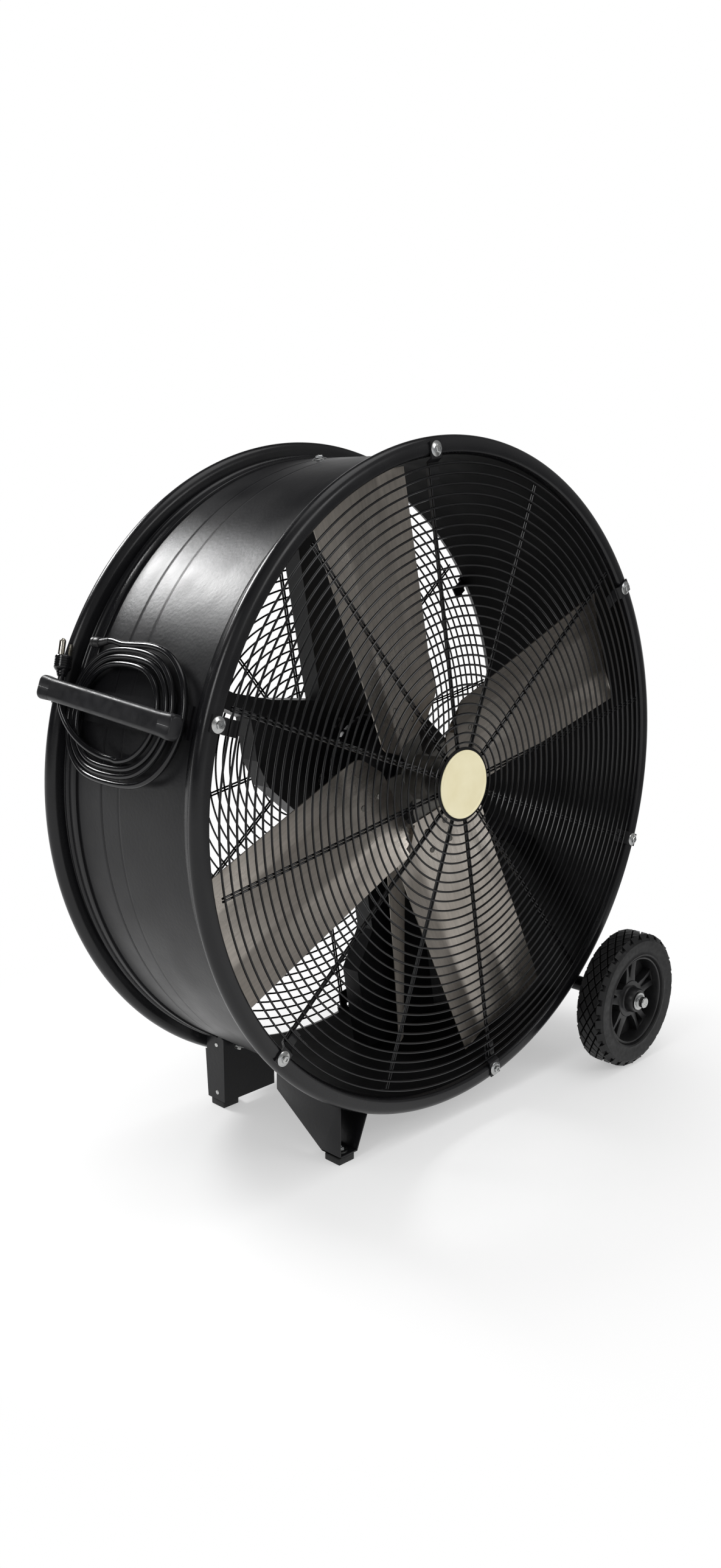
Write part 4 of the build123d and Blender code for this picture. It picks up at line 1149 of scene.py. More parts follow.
@dataclass
class Badge:
    """The plain cream disc on the front guard's hub: a shallow dome inside a raised edge."""

    dome_share: float = 0.9
    steps: int = 6

    def build(self) -> None:
        """Turn the disc from its CAD node's box and dress it."""
        low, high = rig.box("front_badge")
        rim, deep = (high[0] - low[0]) / 2, high[1] - low[1]
        profile = [(0.0, 0.0), (rim, 0.0), (rim, deep * 0.6), (rim - 0.0006, deep * 0.95), (rim - 0.0022, deep)]
        profile += [(rim - 0.0034, deep * 0.8), (rim - 0.0042, deep * 0.55)]
        profile += [(rim * (1 - k / self.steps) * self.dome_share,
                     deep * (0.55 + 0.35 * math.sin(math.pi / 2 * k / self.steps))) for k in range(self.steps + 1)]
        made = lathe("badge_disc", profile, on_axis(high[1]), -DEEP, 128, 50.0)
        dress(made, Paint.BADGE_CREAM, "frame", "badge_cream", ["front_badge"])


# ------------------------------------------------------------------------------ fasteners
@dataclass
class Fasteners:
    """Flanged hexagon bolts and domed rivets, set where the CAD's washers and heads are."""

    flange: float = 12.0
    head: float = 6.6
    height: float = 6.6

    def bolt(self) -> bpy.types.Object:
        """Make one bolt on a seat at the origin, facing +Z.

        Returns:
            The bolt.
        """
        washer = lathe("washer", scaled([
            (0, 0), (self.flange, 0), (self.flange, 0.9), (self.flange - 0.9, 1.6), (9.0, 2.0), (7.4, 3.0), (0, 3.0)]),
            Vector(), Vector((0, 0, 1)), 40)
        corners = [math.radians(60 * k) for k in range(6)]
        rings = [[Vector((radius * math.cos(t), radius * math.sin(t), level)) * MM for t in corners]
                 for radius, level in ((self.head, 2.4), (self.head, 5.7), (self.head - 1.2, self.height),
                                       (3.0, self.height), (2.6, self.height - 1.4))]
        return join("bolt_model", [washer, loops("head", rings)])

    def dome(self, radius: float, height: float) -> bpy.types.Object:
        """Make one domed head on a seat at the origin, facing +Z.

        Args:
            radius: its radius in millimetres.
            height: its height in millimetres.

        Returns:
            The head.
        """
        profile = [(0.0, 0.0), (radius, 0.0), (radius, height * 0.15)]
        for k in range(1, 6):
            turn = math.radians(18 * k)
            profile.append((radius * math.cos(turn), height * (0.15 + 0.85 * math.sin(turn))))
        return lathe("dome_model", scaled(profile), Vector(), Vector((0, 0, 1)), 24)

    def build(self) -> None:
        """Make every group of bolts, screws and rivets."""
        for node in ("front_grille_bolts", "rear_grille_bolts", "motor_mount_bolts", "axle_bracket_bolts",
                     "leg_bolts", "seam_bolt"):
            # The mount's bolts are painted over with the drum.
            paint = Paint.RIM_COAT if node == "motor_mount_bolts" else Paint.ZINC_PLATE
            dress(copies(f"{node}_dressed", self.bolt(), seats_of(node, -DEEP), paint), paint, "frame", "zinc", [node])
        rivets = copies("domed_rivets", self.dome(5.0, 2.3), seats_of("blade_rivets", -DEEP), Paint.HUB_CASTING)
        dress(rivets, Paint.HUB_CASTING, "rotor", "zinc", ["blade_rivets"])
        seats = seats_of("handle_screws", outward(HANDLE_ANGLE))
        screws = copies("handle_screw_heads", self.dome(5.9, 1.9), seats, Paint.RIM_COAT)
        dress(screws, Paint.RIM_COAT, "frame", "zinc", ["handle_screws"])


# ------------------------------------------------------------------------------ rotor and motor
@dataclass
class Impeller:
    """Four folded blades that twist from a flat root to the tip."""

    angle: float = 22.4
    count: int = 4
    root_r: float = 72.0
    flat_r: float = 160.0
    tip_r: float = 514.0
    shoulder: float = 112.0
    root_half: float = 48.0
    sheet: float = 2.5
    fold_r: float = 7.0
    steps: int = 46
    # The blade's section at its root and tip: sideways and forward places of its edges and two folds.
    root: tuple[tuple[float, float], ...] = ((-98.5, 88.0), (-50.0, 88.0), (33.0, 105.0), (90.5, 128.0))
    tip: tuple[tuple[float, float], ...] = ((-113.5, 134.0), (-57.0, 122.0), (38.0, 125.0), (105.5, 139.0))

    def build(self) -> None:
        """Make the four blades as one piece of sheet each, and the hub."""
        turns = [self.angle + 360 / self.count * blade for blade in range(self.count)]
        made = join("folded_blades", [self.blade(turn) for turn in turns])
        dress(made, Paint.BLADE_SHEET, "rotor", "blade_metal", ["blades"])
        dress(self.hub(turns), Paint.HUB_CASTING, "rotor", "blade_metal", ["fan_hub"])

    def section(self, radius: float) -> list[Vector]:
        """Points across the blade at a radius, its two folds rolled round.

        Args:
            radius: distance from the drum's axis, in millimetres.

        Returns:
            The points: sideways and forward.
        """
        share = min(max((radius - self.flat_r) / (self.tip_r - self.flat_r), 0.0), 1.0)
        knots = [Vector(a).lerp(Vector(b), share) for a, b in zip(self.root, self.tip)]
        line = [knots[0].lerp(knots[1], k / 4) for k in range(4)]
        for before, fold, after in (knots[:3], knots[1:]):
            start, end = (fold + (other - fold).normalized() * self.fold_r for other in (before, after))
            for t in (k / 5 for k in range(6)):
                line.append(start * (1 - t) ** 2 + fold * 2 * t * (1 - t) + end * t * t)
            if after is knots[2]:
                flat = knots[2] + (knots[1] - knots[2]).normalized() * self.fold_r
                line += [end.lerp(flat, k / 5) for k in range(1, 5)]
        return line + [line[-1].lerp(knots[3], k / 4) for k in range(1, 5)]

    def width_at(self, radius: float) -> float:
        """Half width of the blade's outline at a radius: narrow at the root, full past the shoulder.

        Args:
            radius: distance from the drum's axis, in millimetres.

        Returns:
            The half width in millimetres.
        """
        near, far, full = self.shoulder - 8.0, self.shoulder + 6.0, -self.root[0][0] - 8.0
        if radius < near:
            return self.root_half + (full - self.root_half) * (radius - self.root_r) / (near - self.root_r)
        return full + 9.0 * min((radius - near) / (far - near), 1.0) + max(radius - far, 0.0)

    def blade(self, turn: float) -> bpy.types.Object:
        """Make one blade.

        Args:
            turn: its angle in degrees.

        Returns:
            The blade.
        """
        rows: list[list[Vector]] = []
        for step in range(self.steps + 1):
            level = self.root_r + (self.tip_r - self.root_r) * step / self.steps
            half = self.width_at(level)
            front, back = [], []
            for side, forward in self.section(level):
                side = max(min(side, half), -half)
                reach = min(level, math.sqrt(self.tip_r**2 - side * side))
                at = (outward(turn) * reach + around(turn) * side) * MM
                front.append(on_axis(-forward * MM) + at)
                back.append(on_axis(-(forward - self.sheet) * MM) + at)
            rows.append([*front, *reversed(back)])
        return loops("blade", rows)

    def hub(self, turns: Sequence[float]) -> bpy.types.Object:
        """Make the turned hub and the arms behind the blades' roots.

        Args:
            turns: the blades' angles in degrees.

        Returns:
            The hub.
        """
        back, front, thick = 78.0, 138.0, 4.6
        body = scaled([(10.0, back), (42.0, back), (42.0, back + 12), (38.0, back + 16), (38.0, front - 8),
                       (35.0, front - 2), (31.0, front), (10.0, front)])
        parts = [lathe("hub_body", body, on_axis(), -DEEP, 64)]
        slope = (self.root[2][1] - self.root[1][1]) / (self.root[2][0] - self.root[1][0])
        middle = self.root[1][1] - slope * self.root[1][0] - self.sheet - 0.3
        for turn in turns:
            rows = []
            for radius, half in ((34.0, 24.0), (60.0, 30.0), (140.0, 30.0), (150.0, 26.0), (153.5, 16.0)):
                ring = [(v, middle + slope * v - low) for low, ends in ((0.0, (-half, half)), (thick, (half, -half)))
                        for v in ends]
                rows.append([on_axis(-f * MM) + (outward(turn) * radius + around(turn) * v) * MM for v, f in ring])
            parts.append(loops("arm", rows))
        return join("hub_with_arms", parts)


@dataclass
class Motor:
    """The motor's finned body and turned end bells, and the bright strip before its mount's foot."""

    fins: int = 36
    radius: float = 0.095
    barrel: float = 0.0905
    # The strip's left and right edges: how far down and sideways from the drum's axis, in millimetres.
    left: tuple[tuple[float, float], ...] = ((-150.0, 8.0), (-347.0, 31.0), (-527.0, 50.5))
    right: tuple[tuple[float, float], ...] = ((-150.0, 92.0), (-347.0, 92.0), (-527.0, 72.0))
    wall: float = 524.8
    sheet: float = 2.0

    def build(self) -> None:
        """Make the body, the bells and the strip."""
        low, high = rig.box("motor_housing")
        body = lathe("motor_barrel", [(0.089, low[1]), (self.barrel, low[1]), (self.barrel, high[1]), (0.089, high[1])],
                     on_axis(), DEEP, 96)
        ends, edge = (low[1] + 0.003, high[1] - 0.003), 0.0008
        fin = prism("fin", [(ends[0], -edge), (ends[1], -edge), (ends[1], edge), (ends[0], edge)],
                    Matrix.Identity(4), 0.0043)
        ways = [outward(360 / self.fins * k) for k in range(self.fins)]
        ribs = copies("fins", fin, [seat_at(on_axis() + way * 0.0902, way, DEEP) for way in ways], Paint.MOTOR_ENAMEL)
        dress(join("finned_motor_body", [body, ribs]), Paint.MOTOR_ENAMEL, "frame", "motor_paint", ["motor_housing"])
        for node, way in (("motor_front_bell", -1), ("motor_rear_bell", 1)):
            low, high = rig.box(node)
            deep = high[1] - low[1]
            profile = [(0.0235, 0.0), (self.radius, 0.0), (self.radius, deep * 0.45),
                       (self.radius - 0.003, deep * 0.62), (0.078, deep * 0.8), (0.040, deep * 0.82), (0.034, deep),
                       (0.0125, deep), (0.0125, deep * 0.8), (0.0235, deep * 0.79)]
            bell = lathe(f"{node}_turned", profile, on_axis(high[1] if way < 0 else low[1]), way * DEEP, 96)
            dress(bell, Paint.MOTOR_ENAMEL, "frame", "motor_paint", [node])
        self.strip()

    def edge(self, side: Sequence[tuple[float, float]], z: float) -> float:
        """Find how far sideways one of the strip's edges is at a height.

        Args:
            side: the edge's corners.
            z: the height from the drum's axis, in millimetres.

        Returns:
            The sideways place in millimetres.
        """
        for (z0, x0), (z1, x1) in zip(side, side[1:]):
            if z >= z1:
                return x0 + (x1 - x0) * (z0 - z) / (z0 - z1)
        return side[-1][1]

    def strip(self) -> None:
        """Make the rolled strip that stands bright in front of the mount's foot."""
        top, columns, rows = -self.left[0][0], 16, 24
        made: list[list[Vector]] = []
        for row in range(rows + 1):
            level = -top - (self.wall - top) * row / rows
            start, end = self.edge(self.left, level), self.edge(self.right, level)
            front, back = [], []
            for column in range(columns + 1):
                x = start + (end - start) * column / columns
                z = max(level, -math.sqrt(self.wall**2 - x * x))
                y = -8.0 + 33.4 * ((x - 8.0) / 84.0) ** 3.3
                front.append(on_axis(y * MM) + Vector((x, 0.0, z)) * MM)
                back.append(on_axis((y + self.sheet) * MM) + Vector((x, 0.0, z)) * MM)
            made.append([*front, *reversed(back)])
        dress(loops("rolled_strip", made), Paint.STRIP_SHEET, "frame", "blade_metal", ["mount_strut"])


# ------------------------------------------------------------------------------ wheels
@dataclass
class Wheel:
    """One wheel: a tyre with a diamond tread, and a moulded hub with five slotted spokes."""

    end: End
    blocks: int = 28
    spokes: int = 5
    outer: float = 126.5
    carcass: float = 119.5
    # Half sizes of the tread's diamonds: round the wheel and along its axle.
    diamond: tuple[float, float] = (6.6, 11.3)
    centre: Vector = field(init=False)
    axis: Vector = field(init=False)

    def __post_init__(self) -> None:
        """Find the wheel's middle and its axle, pointing away from the drum's middle."""
        self.centre = middle_of(f"{self.end.label}_wheel_hub")
        self.axis = self.end.value * DEEP

    def build(self) -> None:
        """Make the tyre, the hub and the axle's nut."""
        label = self.end.label
        body = f"{label}_wheel"
        dress(self.tyre(), Paint.TYRE_RUBBER, body, "tyre_rubber", [f"{label}_tyre"])
        dress(self.hub(), Paint.HUB_PLASTIC, body, "hub_plastic", [f"{label}_wheel_hub"])
        dress(self.nut(), Paint.ZINC_PLATE, "frame", "zinc", [f"{label}_axle_nut"])

    def spun(self, turn: float, radius: float, along: float = 0.0) -> Matrix:
        """Seat on the wheel at an angle and radius: Z outwards, X along the axle."""
        away = outward(turn)
        return seat_at(self.centre + (away * radius + self.axis * along) * MM, away, self.axis)

    def tyre(self) -> bpy.types.Object:
        """Make the carcass with its sidewalls and set the tread's blocks round it.

        Returns:
            The tyre.
        """
        side = [(84.0, 22.0), (86.0, 26.5), (89.0, 27.8), (92.0, 26.6), (96.0, 27.2), (110.0, 28.4), (114.5, 28.5),
                (116.5, 27.0), (119.0, 25.5), (self.carcass, 21.5)]
        floor = [(118.0, -21.0), (self.carcass + 0.2, -21.4), (self.carcass + 0.2, 21.4), (118.0, 21.0)]
        parts = []
        for name, profile, sharp, paint in (
            ("carcass", [*side, *[(r, -y) for r, y in reversed(side)]], 38.0, Paint.TYRE_RUBBER),
            ("tread_floor", floor, 32.0, Paint.GROOVE_RUBBER),
        ):
            parts.append(lathe(name, scaled(profile), self.centre, self.axis, 144, sharp))
            parts[-1].data.materials.append(paint.material)
        pitch, rise, (wide, long) = 360 / self.blocks, self.outer - self.carcass, self.diamond
        rings = [[Vector((x * s, y * s, z)) * MM for x, y in ((wide, 0.0), (0.0, long), (-wide, 0.0), (0.0, -long))]
                 for s, z in ((1.02, -1.2), (1.0, rise - 0.7), (0.9, rise))]
        seats = [self.spun(pitch * (k + shift / 2), self.carcass, along)
                 for k in range(self.blocks) for shift, along in ((0, 0.0), (0, 16.0), (0, -16.0), (1, 8.0), (1, -8.0))]
        parts.append(copies("diamonds", loops("diamond", rings), seats, Paint.TYRE_RUBBER))
        lug = [(16.4, 0.0), (18.6, rise - 0.4), (20.5, rise - 0.4), (25.2, 1.6), (27.6, -3.6), (26.0, -6.0),
               (15.6, -2.0)]
        rows = [[Vector((x, y * share, z)) * MM for x, z in lug]
                for y, share in ((-8.8, 0.92), (-8.0, 1.0), (8.0, 1.0), (8.8, 0.92))]
        for turn in (0.0, math.pi):
            seats = [self.spun(pitch * (k + 0.5), self.carcass) @ Matrix.Rotation(turn, 4, "Z")
                     for k in range(self.blocks)]
            parts.append(copies("lugs", loops("lug", rows), seats, Paint.TYRE_RUBBER))
        return join(f"{self.end.label}_treaded_tyre", parts)

    def hub(self) -> bpy.types.Object:
        """Make the rim ring, the disc behind the spokes, the boss and the five slotted spokes.

        Returns:
            The hub.
        """
        ring = [(78.0, -19.0), (78.0, 19.0), (79.4, 22.8), (81.4, 23.8), (83.8, 22.6), (83.8, -22.6), (81.4, -23.8),
                (79.4, -22.8)]
        boss = [(8.1, -28.4), (8.1, 22.0), (14.5, 22.0), (15.5, 27.6), (17.0, 28.4), (21.0, 28.2), (23.0, 25.0),
                (24.0, 13.0), (26.0, 11.0), (34.0, 10.5), (35.0, 9.0), (35.0, -9.0), (23.0, -11.0), (21.0, -28.4)]
        web = [(20.0, -9.0), (79.0, -9.0), (79.0, -6.5), (20.0, -6.5)]
        parts = [lathe(name, scaled(profile), self.centre, self.axis, segments)
                 for name, profile, segments in (("hub_ring", ring, 96), ("hub_web", web, 64), ("hub_boss", boss, 64))]
        parts += [self.spoke(90.0 + 360 / self.spokes * k) for k in range(self.spokes)]
        return join(f"{self.end.label}_five_spoke_hub", parts)

    def spoke(self, turn: float) -> bpy.types.Object:
        """Make one spoke: a flared channel with a long slot, its edges rounded.

        Args:
            turn: its angle in degrees.

        Returns:
            The spoke.
        """
        outer = ((30.0, 15.0), (52.0, 14.0), (70.0, 16.5), (79.5, 20.0))
        slot = ((42.0, 1.4), (56.0, 3.8), (70.0, 6.6), (77.4, 8.0))
        rows = []
        for half, level in ((outer, -8.0), (outer, 10.0), (slot, 7.5), (slot, -6.0)):
            rows.append([self.centre + (outward(turn) * r + around(turn) * v + self.axis * level) * MM
                         for r, v in (*((r, -v) for r, v in half), *reversed(half))])
        return soften(loops("spoke", [*rows, rows[0]], False), 0.0012, 2, 25.0)

    def nut(self) -> bpy.types.Object:
        """Make the zinc washer and the round nut on the axle's end.

        Returns:
            The washer and nut as one piece.
        """
        low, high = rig.box(f"{self.end.label}_axle_nut")
        start = min(abs(low[1]), abs(high[1]))
        profile = [(8.1, 0.0), (16.6, 0.0), (17.0, 0.8), (16.2, 2.0), (12.6, 2.2), (12.6, 3.4), (11.2, 4.0),
                   (11.2, 4.8), (10.2, 5.4), (10.2, 12.6), (8.8, 14.2), (4.0, 14.4), (3.0, 13.6), (0.0, 13.4),
                   (0.0, 12.0), (8.1, 12.0)]
        origin = Vector((self.centre.x, self.end.value * start, self.centre.z))
        return lathe(f"{self.end.label}_round_nut", scaled(profile), origin, self.axis, 48)


# ------------------------------------------------------------------------------ handle
@dataclass
class Handle:
    """The straight bar with moulded caps, beside the drum."""

    tilt: float = 4.3
    drop: float = -4.5
    stand: float = 585.0
    length: float = 334.0
    height: float = 34.0
    depth: float = 20.0
    cap: float = 30.0
    flare: float = 3.5
    corner: float = 7.0
    # The bar's middle, then its directions: along it, up across it and away from the drum.
    frame: tuple[Vector, Vector, Vector, Vector] = field(init=False)

    def __post_init__(self) -> None:
        """Find the bar's middle and its directions."""
        rise, tilt = -around(HANDLE_ANGLE), math.radians(self.tilt)
        along = -DEEP * math.cos(tilt) - rise * math.sin(tilt)
        across = (rise - along * rise.dot(along)).normalized()
        self.frame = (beside(0.0, self.drop, self.stand), along, across, outward(HANDLE_ANGLE))

    def build(self) -> None:
        """Make the bar and its caps."""
        grip = self.length / 2 - self.cap
        bar = self.skin("handle_grip", [(-grip, 0.0), (grip, 0.0)], 0.0)
        dress(bar, Paint.HANDLE_PLASTIC, "frame", "handle_plastic", ["handle_bar"])
        # A cap swells from the grip to its shoulder, then rounds over by a quarter turn.
        shoulder, swell = grip + self.cap - self.corner, 0.4
        stations = [(grip, 0.05), (grip + 9.0, 0.15), (grip + 18.0, 0.35), (shoulder, swell)]
        for turn in (math.radians(degrees) for degrees in (20, 40, 58, 74, 90)):
            stations.append((shoulder + self.corner * math.sin(turn), swell - 1.6 * (1 - math.cos(turn))))
        caps = [self.skin("cap", [(way * distance, grow) for distance, grow in stations], 0.5) for way in (-1.0, 1.0)]
        dress(join("handle_end_caps", caps), Paint.HANDLE_PLASTIC, "frame", "handle_plastic", ["handle_caps"])

    def outline(self, grow: float, groove: float) -> list[tuple[float, float]]:
        """Rounded rectangle across the bar, with a parting groove on its outer face.

        Args:
            grow: how much deeper than the grip it is on each side; its height grows more by the flare.
            groove: the groove's depth.

        Returns:
            The points, up across the bar and away from the drum, in millimetres.
        """
        high, deep = self.height / 2 + grow * self.flare, self.depth / 2 + grow
        made: list[tuple[float, float]] = []
        for sx, sy, start in ((1, 1, 0), (-1, 1, 90), (-1, -1, 180), (1, -1, 270)):
            made += arc((sx * (high - self.corner), sy * (deep - self.corner)), self.corner, start, start + 90, 6)
            if start == 0:
                made += [(0.9, deep), (0.0, deep - groove), (-0.9, deep)]
        return made

    def skin(self, name: str, stations: Outline, groove: float) -> bpy.types.Object:
        """Skin the outline along the bar.

        Args:
            name: the piece's name.
            stations: distance along the bar and growth of the outline at each stop, in millimetres.
            groove: the parting groove's depth.

        Returns:
            The skinned object.
        """
        origin, along, across, away = self.frame
        rings = []
        for distance, grow in stations:
            rings.append([origin + (along * distance + across * x + away * y) * MM
                          for x, y in self.outline(grow, groove)])
        return loops(name, rings)


# ------------------------------------------------------------------------------ legs, feet and switch
@dataclass
class Legs:
    """The folded front leg, open in front between its upright and slanted webs, and the rear leg's side screws."""

    sheet: float = 0.003
    under_rim: float = 0.7
    arch: float = 0.5312
    under_flange: float = 0.5272
    flange: tuple[float, float] = (-120.2, -111.3)
    # How far the sheets above the toe stand behind its front edge.
    setback: float = 0.0368
    edge: float = 0.0006

    def across(self, name: str, outline: Outline, y: float, deep: float) -> bpy.types.Object:
        """Make a sheet that lies across the drum's axis.

        Args:
            name: the sheet's name.
            outline: (x, z) points in metres.
            y: where its front face stands.
            deep: its thickness.

        Returns:
            The sheet.
        """
        seat = seat_at(Vector((0, y, 0)), DEEP, Vector((1, 0, 0)))
        return prism(name, [(x, -z) for x, z in outline], seat, deep)

    def build(self) -> None:
        """Make the front leg and the rear leg's screws."""
        self.front()
        self.side_screws()

    def front(self) -> None:
        """Fold the front leg from the CAD leg's corners: upright web, toe, slanted web and top flange."""
        low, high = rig.box("front_leg")
        left, front, foot = low[0] + 0.0015, low[1], low[2]
        right, back, top = high[0] - 0.001, high[1], high[2] - 0.0005
        toe_x, toe_y, inset = left + 0.040, front + 0.042, front + self.setback
        web = [(front, foot), (toe_y, foot), (back, foot + 0.072), (back, top), (inset, top), (inset, foot + 0.116),
               (front + 0.0058, foot + 0.116), (front + 0.0058, foot + 0.0886), (front, foot + 0.0886)]
        toe = [(left, foot), (toe_x, foot), (toe_x, foot + self.sheet), (left, foot + self.sheet)]
        turns = [outward(self.flange[0] + (self.flange[1] - self.flange[0]) * k / 8) for k in range(9)]
        rise = Vector((right - toe_x, 0.0, (on_axis() + turns[-1] * self.arch).z - foot))
        slant = [(front, 0.0), (toe_y, 0.0), (back, 0.6), (back, 1.0), (inset, 1.0), (inset, self.under_rim),
                 (front, self.under_rim)]
        seat = seat_at(Vector((toe_x, 0, foot)), rise.cross(DEEP), DEEP)
        way = 1.0 if seat.col[1].z > 0 else -1.0
        inner = [on_axis() + turn * self.under_flange for turn in turns]
        outer = [p + (p - on_axis()).normalized() * (self.sheet - 0.0003) for p in inner]
        strip = [(p.x, p.z) for p in [*inner, *reversed(outer)]]
        sheets = [
            prism("leg_web", web, seat_at(Vector((left, 0, 0)), Vector((1, 0, 0)), DEEP), self.sheet),
            self.across("leg_toe", toe, front, toe_y - front),
            prism("leg_slant", [(y, way * s * rise.length) for y, s in slant], seat, self.sheet * 0.9),
            self.across("leg_flange", strip, inset + 0.0004, back - inset - 0.0004),
        ]
        made = soften(join("folded_front_leg", sheets), self.edge, 2)
        dress(made, Paint.POWDER_COAT, "frame", "shell_paint", ["front_leg"])

    def side_screws(self) -> None:
        """Set two small pan heads on the rear leg's side."""
        low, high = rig.box("rear_leg")
        middle = (high[1] + low[1]) / 2 + 0.008
        seats = [seat_at(Vector((low[0] + 0.0015, middle, z)), Vector((-1, 0, 0)))
                 for z in (low[2] + 0.014, high[2] - 0.018)]
        made = copies("leg_side_screws", Fasteners().dome(4.2, 1.4), seats, Paint.ZINC_PLATE)
        dress(made, Paint.ZINC_PLATE, "frame", "zinc")


@dataclass
class SmallParts:
    """The rubber feet, the axle's sleeve and the switch's pointer knob, fitted to their CAD nodes."""

    pad_edge: float = 0.0018
    bore: float = 0.0081
    tube: float = 0.014
    skirt: float = 0.017
    stem: float = 0.0096

    def build(self) -> None:
        """Make the feet, the sleeve and the knob."""
        for end in End:
            self.foot(end)
        self.sleeve()
        self.knob()

    def foot(self, end: End) -> None:
        """Make one leg's rubber pad.

        Args:
            end: the drum's end that it stands under.
        """
        low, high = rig.box(f"{end.label}_foot")
        outline = [(low[0], low[1]), (high[0], low[1]), (high[0], high[1]), (low[0], high[1])]
        pad = prism(f"{end.label}_pad", outline, Matrix.Translation((0, 0, low[2])), high[2] - low[2])
        made = soften(pad, self.pad_edge, 3)
        dress(made, Paint.FOOT_RUBBER, "frame", "foot_rubber", [f"{end.label}_foot"])

    def sleeve(self) -> None:
        """Make the tube between the axle's two brackets."""
        low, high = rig.box("axle_sleeve")
        centre = middle_of("axle_sleeve")
        thin = self.tube - 0.0002
        profile = [(self.bore, low[1]), (thin, low[1]), (self.tube, low[1] + 0.0006), (self.tube, high[1] - 0.0006),
                   (thin, high[1]), (self.bore, high[1])]
        made = lathe("axle_tube", profile, Vector((centre.x, 0, centre.z)), DEEP, 48)
        dress(made, Paint.RIM_COAT, "frame", "shell_paint", ["axle_sleeve"])

    def knob(self) -> None:
        """Make the knob's skirt, its pointer bar and its stem through the box's wall."""
        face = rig.box("switch_box")[1][1] + 0.0006
        middle, deep = middle_of("speed_knob"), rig.box("speed_knob")[1][1] - face
        centre = Vector((middle.x, face, middle.z))
        skirt = [(0.0, 0.0), (self.skirt, 0.0), (self.skirt, 0.002), (self.skirt - 0.0015, deep * 0.5),
                 (self.skirt - 0.0025, deep * 0.58), (0.0, deep * 0.6)]
        stem = [(0.0, 0.0), (0.004, 0.0), (0.004, -self.stem), (0.0, -self.stem)]
        bar = [(-0.0038, -0.0150), (0.0038, -0.0150), (0.0045, 0.0), (0.0038, 0.0155), (-0.0038, 0.0155),
               (-0.0045, 0.0)]
        seat = seat_at(centre + DEEP * (deep * 0.5), DEEP, Vector((1, 0, 0)))
        parts = [lathe("knob_skirt", skirt, centre, DEEP, 48),
                 soften(prism("knob_bar", bar, seat, deep * 0.5), 0.0008, 2),
                 lathe("knob_stem", stem, centre, DEEP, 24)]
        dress(join("pointer_knob", parts), Paint.HUB_PLASTIC, "knob", "hub_plastic", ["speed_knob"])


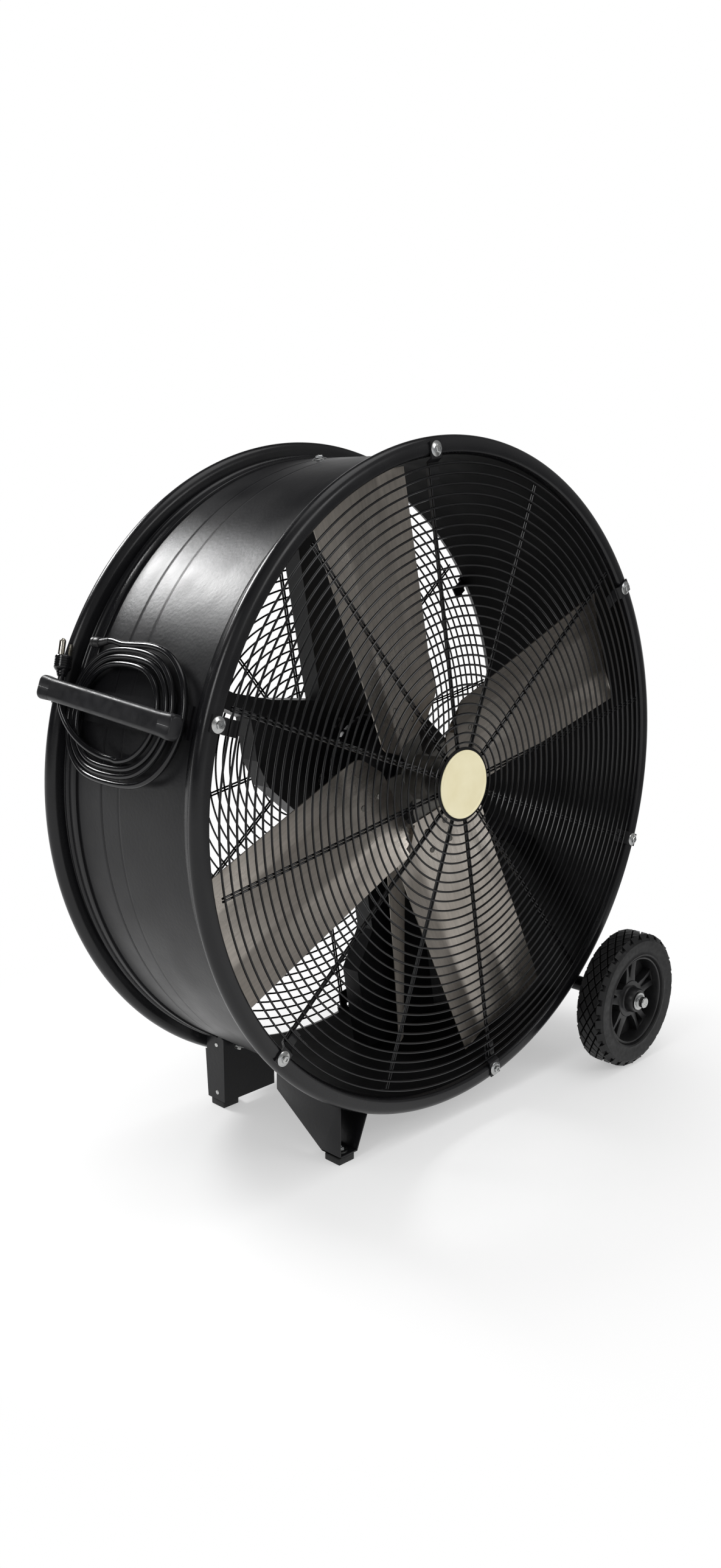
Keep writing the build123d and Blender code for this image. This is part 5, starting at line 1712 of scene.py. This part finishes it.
# ------------------------------------------------------------------------------ power cord
@dataclass
class PowerCord:
    """The cord looped beside the handle: out of its gland, round in loose turns, and up to the plug."""

    diameter: float = 0.0095
    length: float = 2.568
    plane: float = 538.0
    lead: tuple[tuple[float, float], ...] = ((-130, 90), (-112, 90), (-88, 96.5), (-62, 92), (-42, 92))
    # Each turn: how far forward, down, back and up it reaches, in millimetres beside the handle.
    turns: tuple[tuple[float, float, float, float], ...] = (
        (118.0, -108.0, -154.0, 81.5),
        (91.0, -97.5, -143.5, 71.0),
        (78.0, -87.0, -133.0, 60.5),
    )
    last: tuple[float, float] = (57.0, -76.5)
    tail: tuple[tuple[float, float, float], ...] = (
        (-22, -76.5, 538), (-52, -76.5, 538), (-92, -66, 546), (-128, -43, 556), (-148.0, -7.65, 567),
        (-153, 28, 567))
    plug_tilt: float = 8.0
    plug_long: float = 31.6

    def control_points(self) -> list[Vector]:
        """Find the control points of the cord's own spline.

        Returns:
            The points, from the gland to the plug.
        """
        return [*(beside(*p, self.plane) for p in self.lead), *self.turn_points(), *(beside(*p) for p in self.tail)]

    def turn_points(self) -> list[Vector]:
        """Find sixteen points for each loose turn, each an oval between its four reaches.

        Returns:
            The points, in order.
        """
        made: list[Vector] = []
        top = self.lead[-1][1]
        for front, low, back, high in self.turns:
            made += [*self.half_turn(front, top, low, 1.0), *self.half_turn(back, low, high, -1.0)]
            top = high
        return [*made, *self.half_turn(self.last[0], top, self.last[1], 1.0)]

    def half_turn(self, reach: float, start: float, end: float, way: float) -> list[Vector]:
        """Eight points of half a turn.

        Args:
            reach: how far forward or back it goes, in millimetres.
            start: the height it begins at.
            end: the height it ends at.
            way: 1 in front, -1 behind.

        Returns:
            The points, in order.
        """
        half = abs(end - start) / 2
        middle, centre, sign = (start + end) / 2, reach - way * half, 1.0 if start > end else -1.0
        # The control polygon stands a little outside the line that the spline takes.
        grown = half * 1.035
        turns = [math.pi / 2 * (1 - k / 3.5) for k in range(8)]
        return [beside(centre + way * grown * math.cos(t), middle + sign * grown * math.sin(t), self.plane)
                for t in turns]

    def build(self) -> None:
        points = self.control_points()
        curve = bpy.data.curves.new("power_cord", "CURVE")
        curve.dimensions, curve.resolution_u = "3D", 6
        curve.bevel_depth, curve.bevel_resolution, curve.use_fill_caps = self.diameter / 2, 4, True
        spline = curve.splines.new("NURBS")
        spline.points.add(len(points) - 1)
        for slot, point in zip(spline.points, points):
            slot.co = (*point, 1.0)
        spline.order_u, spline.use_endpoint_u = 3, True
        cord = dress(link("power_cord", curve), Paint.CORD_JACKET, "frame", "cord_jacket", ["cord_coil"])
        self.gland(points)
        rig.cord(cord, exit=points[0], length=self.length, diameter=self.diameter, far_end="plug",
                stiffness="medium", lay="coiled", with_pieces=[self.plug(), self.pins()])

    def gland(self, points: Sequence[Vector]) -> None:
        """Make the cable gland and the ribbed sleeve that the cord leaves it through.

        Args:
            points: the cord's control points.
        """
        start, knee, after = points[:3]
        profile = [(4.6, 0.0), (8.5, 0.0), (8.5, 5.0), (7.4, 5.6), (7.4, 7.0), (8.5, 7.6), (8.5, 14.5), (7.6, 17.4),
                   (6.6, 18.0), (4.6, 18.0)]
        body = lathe("gland_body", scaled(profile), start, (knee - start).normalized(), 36)
        bends = [(start + knee) / 2, knee, (knee + after) / 2, after, (after + points[3]) / 2]
        rings, ribs = [], 12
        for k in range(ribs + 1):
            share = k / ribs * 1.35
            (first, middle, last), t = (bends[:3], share) if share <= 1 else (bends[2:], share - 1)
            centre = first * (1 - t) ** 2 + middle * 2 * t * (1 - t) + last * t * t
            heading = ((middle - first) * (1 - t) + (last - middle) * t).normalized()
            side = heading.cross(Vector((0, 0, 1))).normalized()
            rise = side.cross(heading)
            radius = (7.2 - 2.1 * k / ribs - (0.5 if k % 2 else 0.0)) * MM
            rings.append([centre + (side * math.cos(a) + rise * math.sin(a)) * radius
                          for a in (math.tau * n / 24 for n in range(24))])
        made = join("gland_with_sleeve", [body, loops("gland_sleeve", rings)])
        dress(made, Paint.HUB_PLASTIC, "frame", "hub_plastic", ["cord_gland"])

    def plug_seat(self) -> Matrix:
        """Find the seat at the cord's end.

        Returns:
            The seat: Z along the plug, X away from the drum.
        """
        tilt = math.radians(self.plug_tilt)
        up = beside(-math.sin(tilt), math.cos(tilt), 0.0) - on_axis()
        return seat_at(beside(*self.tail[-1]), up, outward(HANDLE_ANGLE))

    def plug(self) -> bpy.types.Object:
        """Make the moulded plug with its grip rings and its tapered tail.

        Returns:
            The plug.
        """
        seat = self.plug_seat()
        profile = [(0.0, 0.0), (5.0, 0.0), (6.4, 1.2), (7.2, 3.4), (7.0, 4.6), (8.0, 5.6), (8.2, 8.0), (10.4, 9.6),
                   (12.4, 12.4)]
        for y in (13.6 + 3.4 * k for k in range(4)):
            profile += [(13.0, y), (13.0, y + 1.9), (12.2, y + 2.3), (12.2, y + 3.0)]
        profile += [(13.0, 27.4), (13.0, 30.6), (12.0, 32.0), (0.0, 32.0)]
        made = lathe("moulded_plug", scaled(profile), seat.translation, seat.col[2].to_3d(), 48)
        return dress(made, Paint.CORD_JACKET, "frame", "cord_jacket", ["cord_plug"])

    def pins(self) -> bpy.types.Object:
        """Make the round pin with its rounded end and the flat blade beside it.

        Returns:
            Both pins as one piece.
        """
        seat = self.plug_seat()
        foot = seat @ (Vector((2.0, -5.0, self.plug_long)) * MM)
        profile = [(0.0, 0.0), (5.0, 0.0), (5.0, 22.4), *arc((0.0, 22.9), 4.9, 0, 90, 6)]
        pin = lathe("round_pin", scaled(profile), foot, seat.col[2].to_3d(), 24)
        flat = scaled([(-7.5, 6.5), (-2.5, 6.5), (-2.5, 9.5), (-7.5, 9.5)])
        blade = prism("flat_pin", flat, seat @ Matrix.Translation((0, 0, self.plug_long * MM)), 18.4 * MM)
        made = join("plug_contacts", [pin, soften(blade, 0.0006, 2)])
        return dress(made, Paint.PIN_NICKEL, "frame", "pin_metal", ["plug_pins"])


# ------------------------------------------------------------------------------ scene
def dress_frame(frame: dict[str, Any]) -> None:
    """Give every CAD node the finish of its record slot.
    """
    slots = {part["node"]: part["material_slot"] for part in frame["record"]["subparts"]}
    for name, node in frame["nodes"].items():
        # The lugs are punched from sheet and painted with the drum.
        paint = Paint.POWDER_COAT if name.endswith("_lugs") else SLOT_FINISH[slots[name]]
        node.data.materials.clear()
        node.data.materials.append(paint.material)


def box_of() -> dict[str, list[float]]:
    """The shown object's box as plain lists."""
    low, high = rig.bounds()
    return {"low": list(low), "high": list(high)}


def main() -> None:
    """Build the studio and every sub-assembly in order, and write the two boxes."""
    logging.basicConfig(level=logging.INFO, format="%(name)s: %(message)s")
    for obj in list(bpy.data.objects):
        bpy.data.objects.remove(obj)
    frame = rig.load()
    sizes = {"cad": box_of()}
    dress_frame(frame)
    Studio().build()
    Drum().build()
    for end in End:
        Guard(end).build()
        Wheel(end).build()
    for assembly in (Badge, Fasteners, Impeller, Motor, Legs, Handle, SmallParts, PowerCord):
        assembly().build()
    bpy.context.view_layer.update()
    sizes["visual"] = box_of()
    with open("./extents.json", "w") as out:
        json.dump(sizes, out, indent=1)


if __name__ == "__main__":
    main()
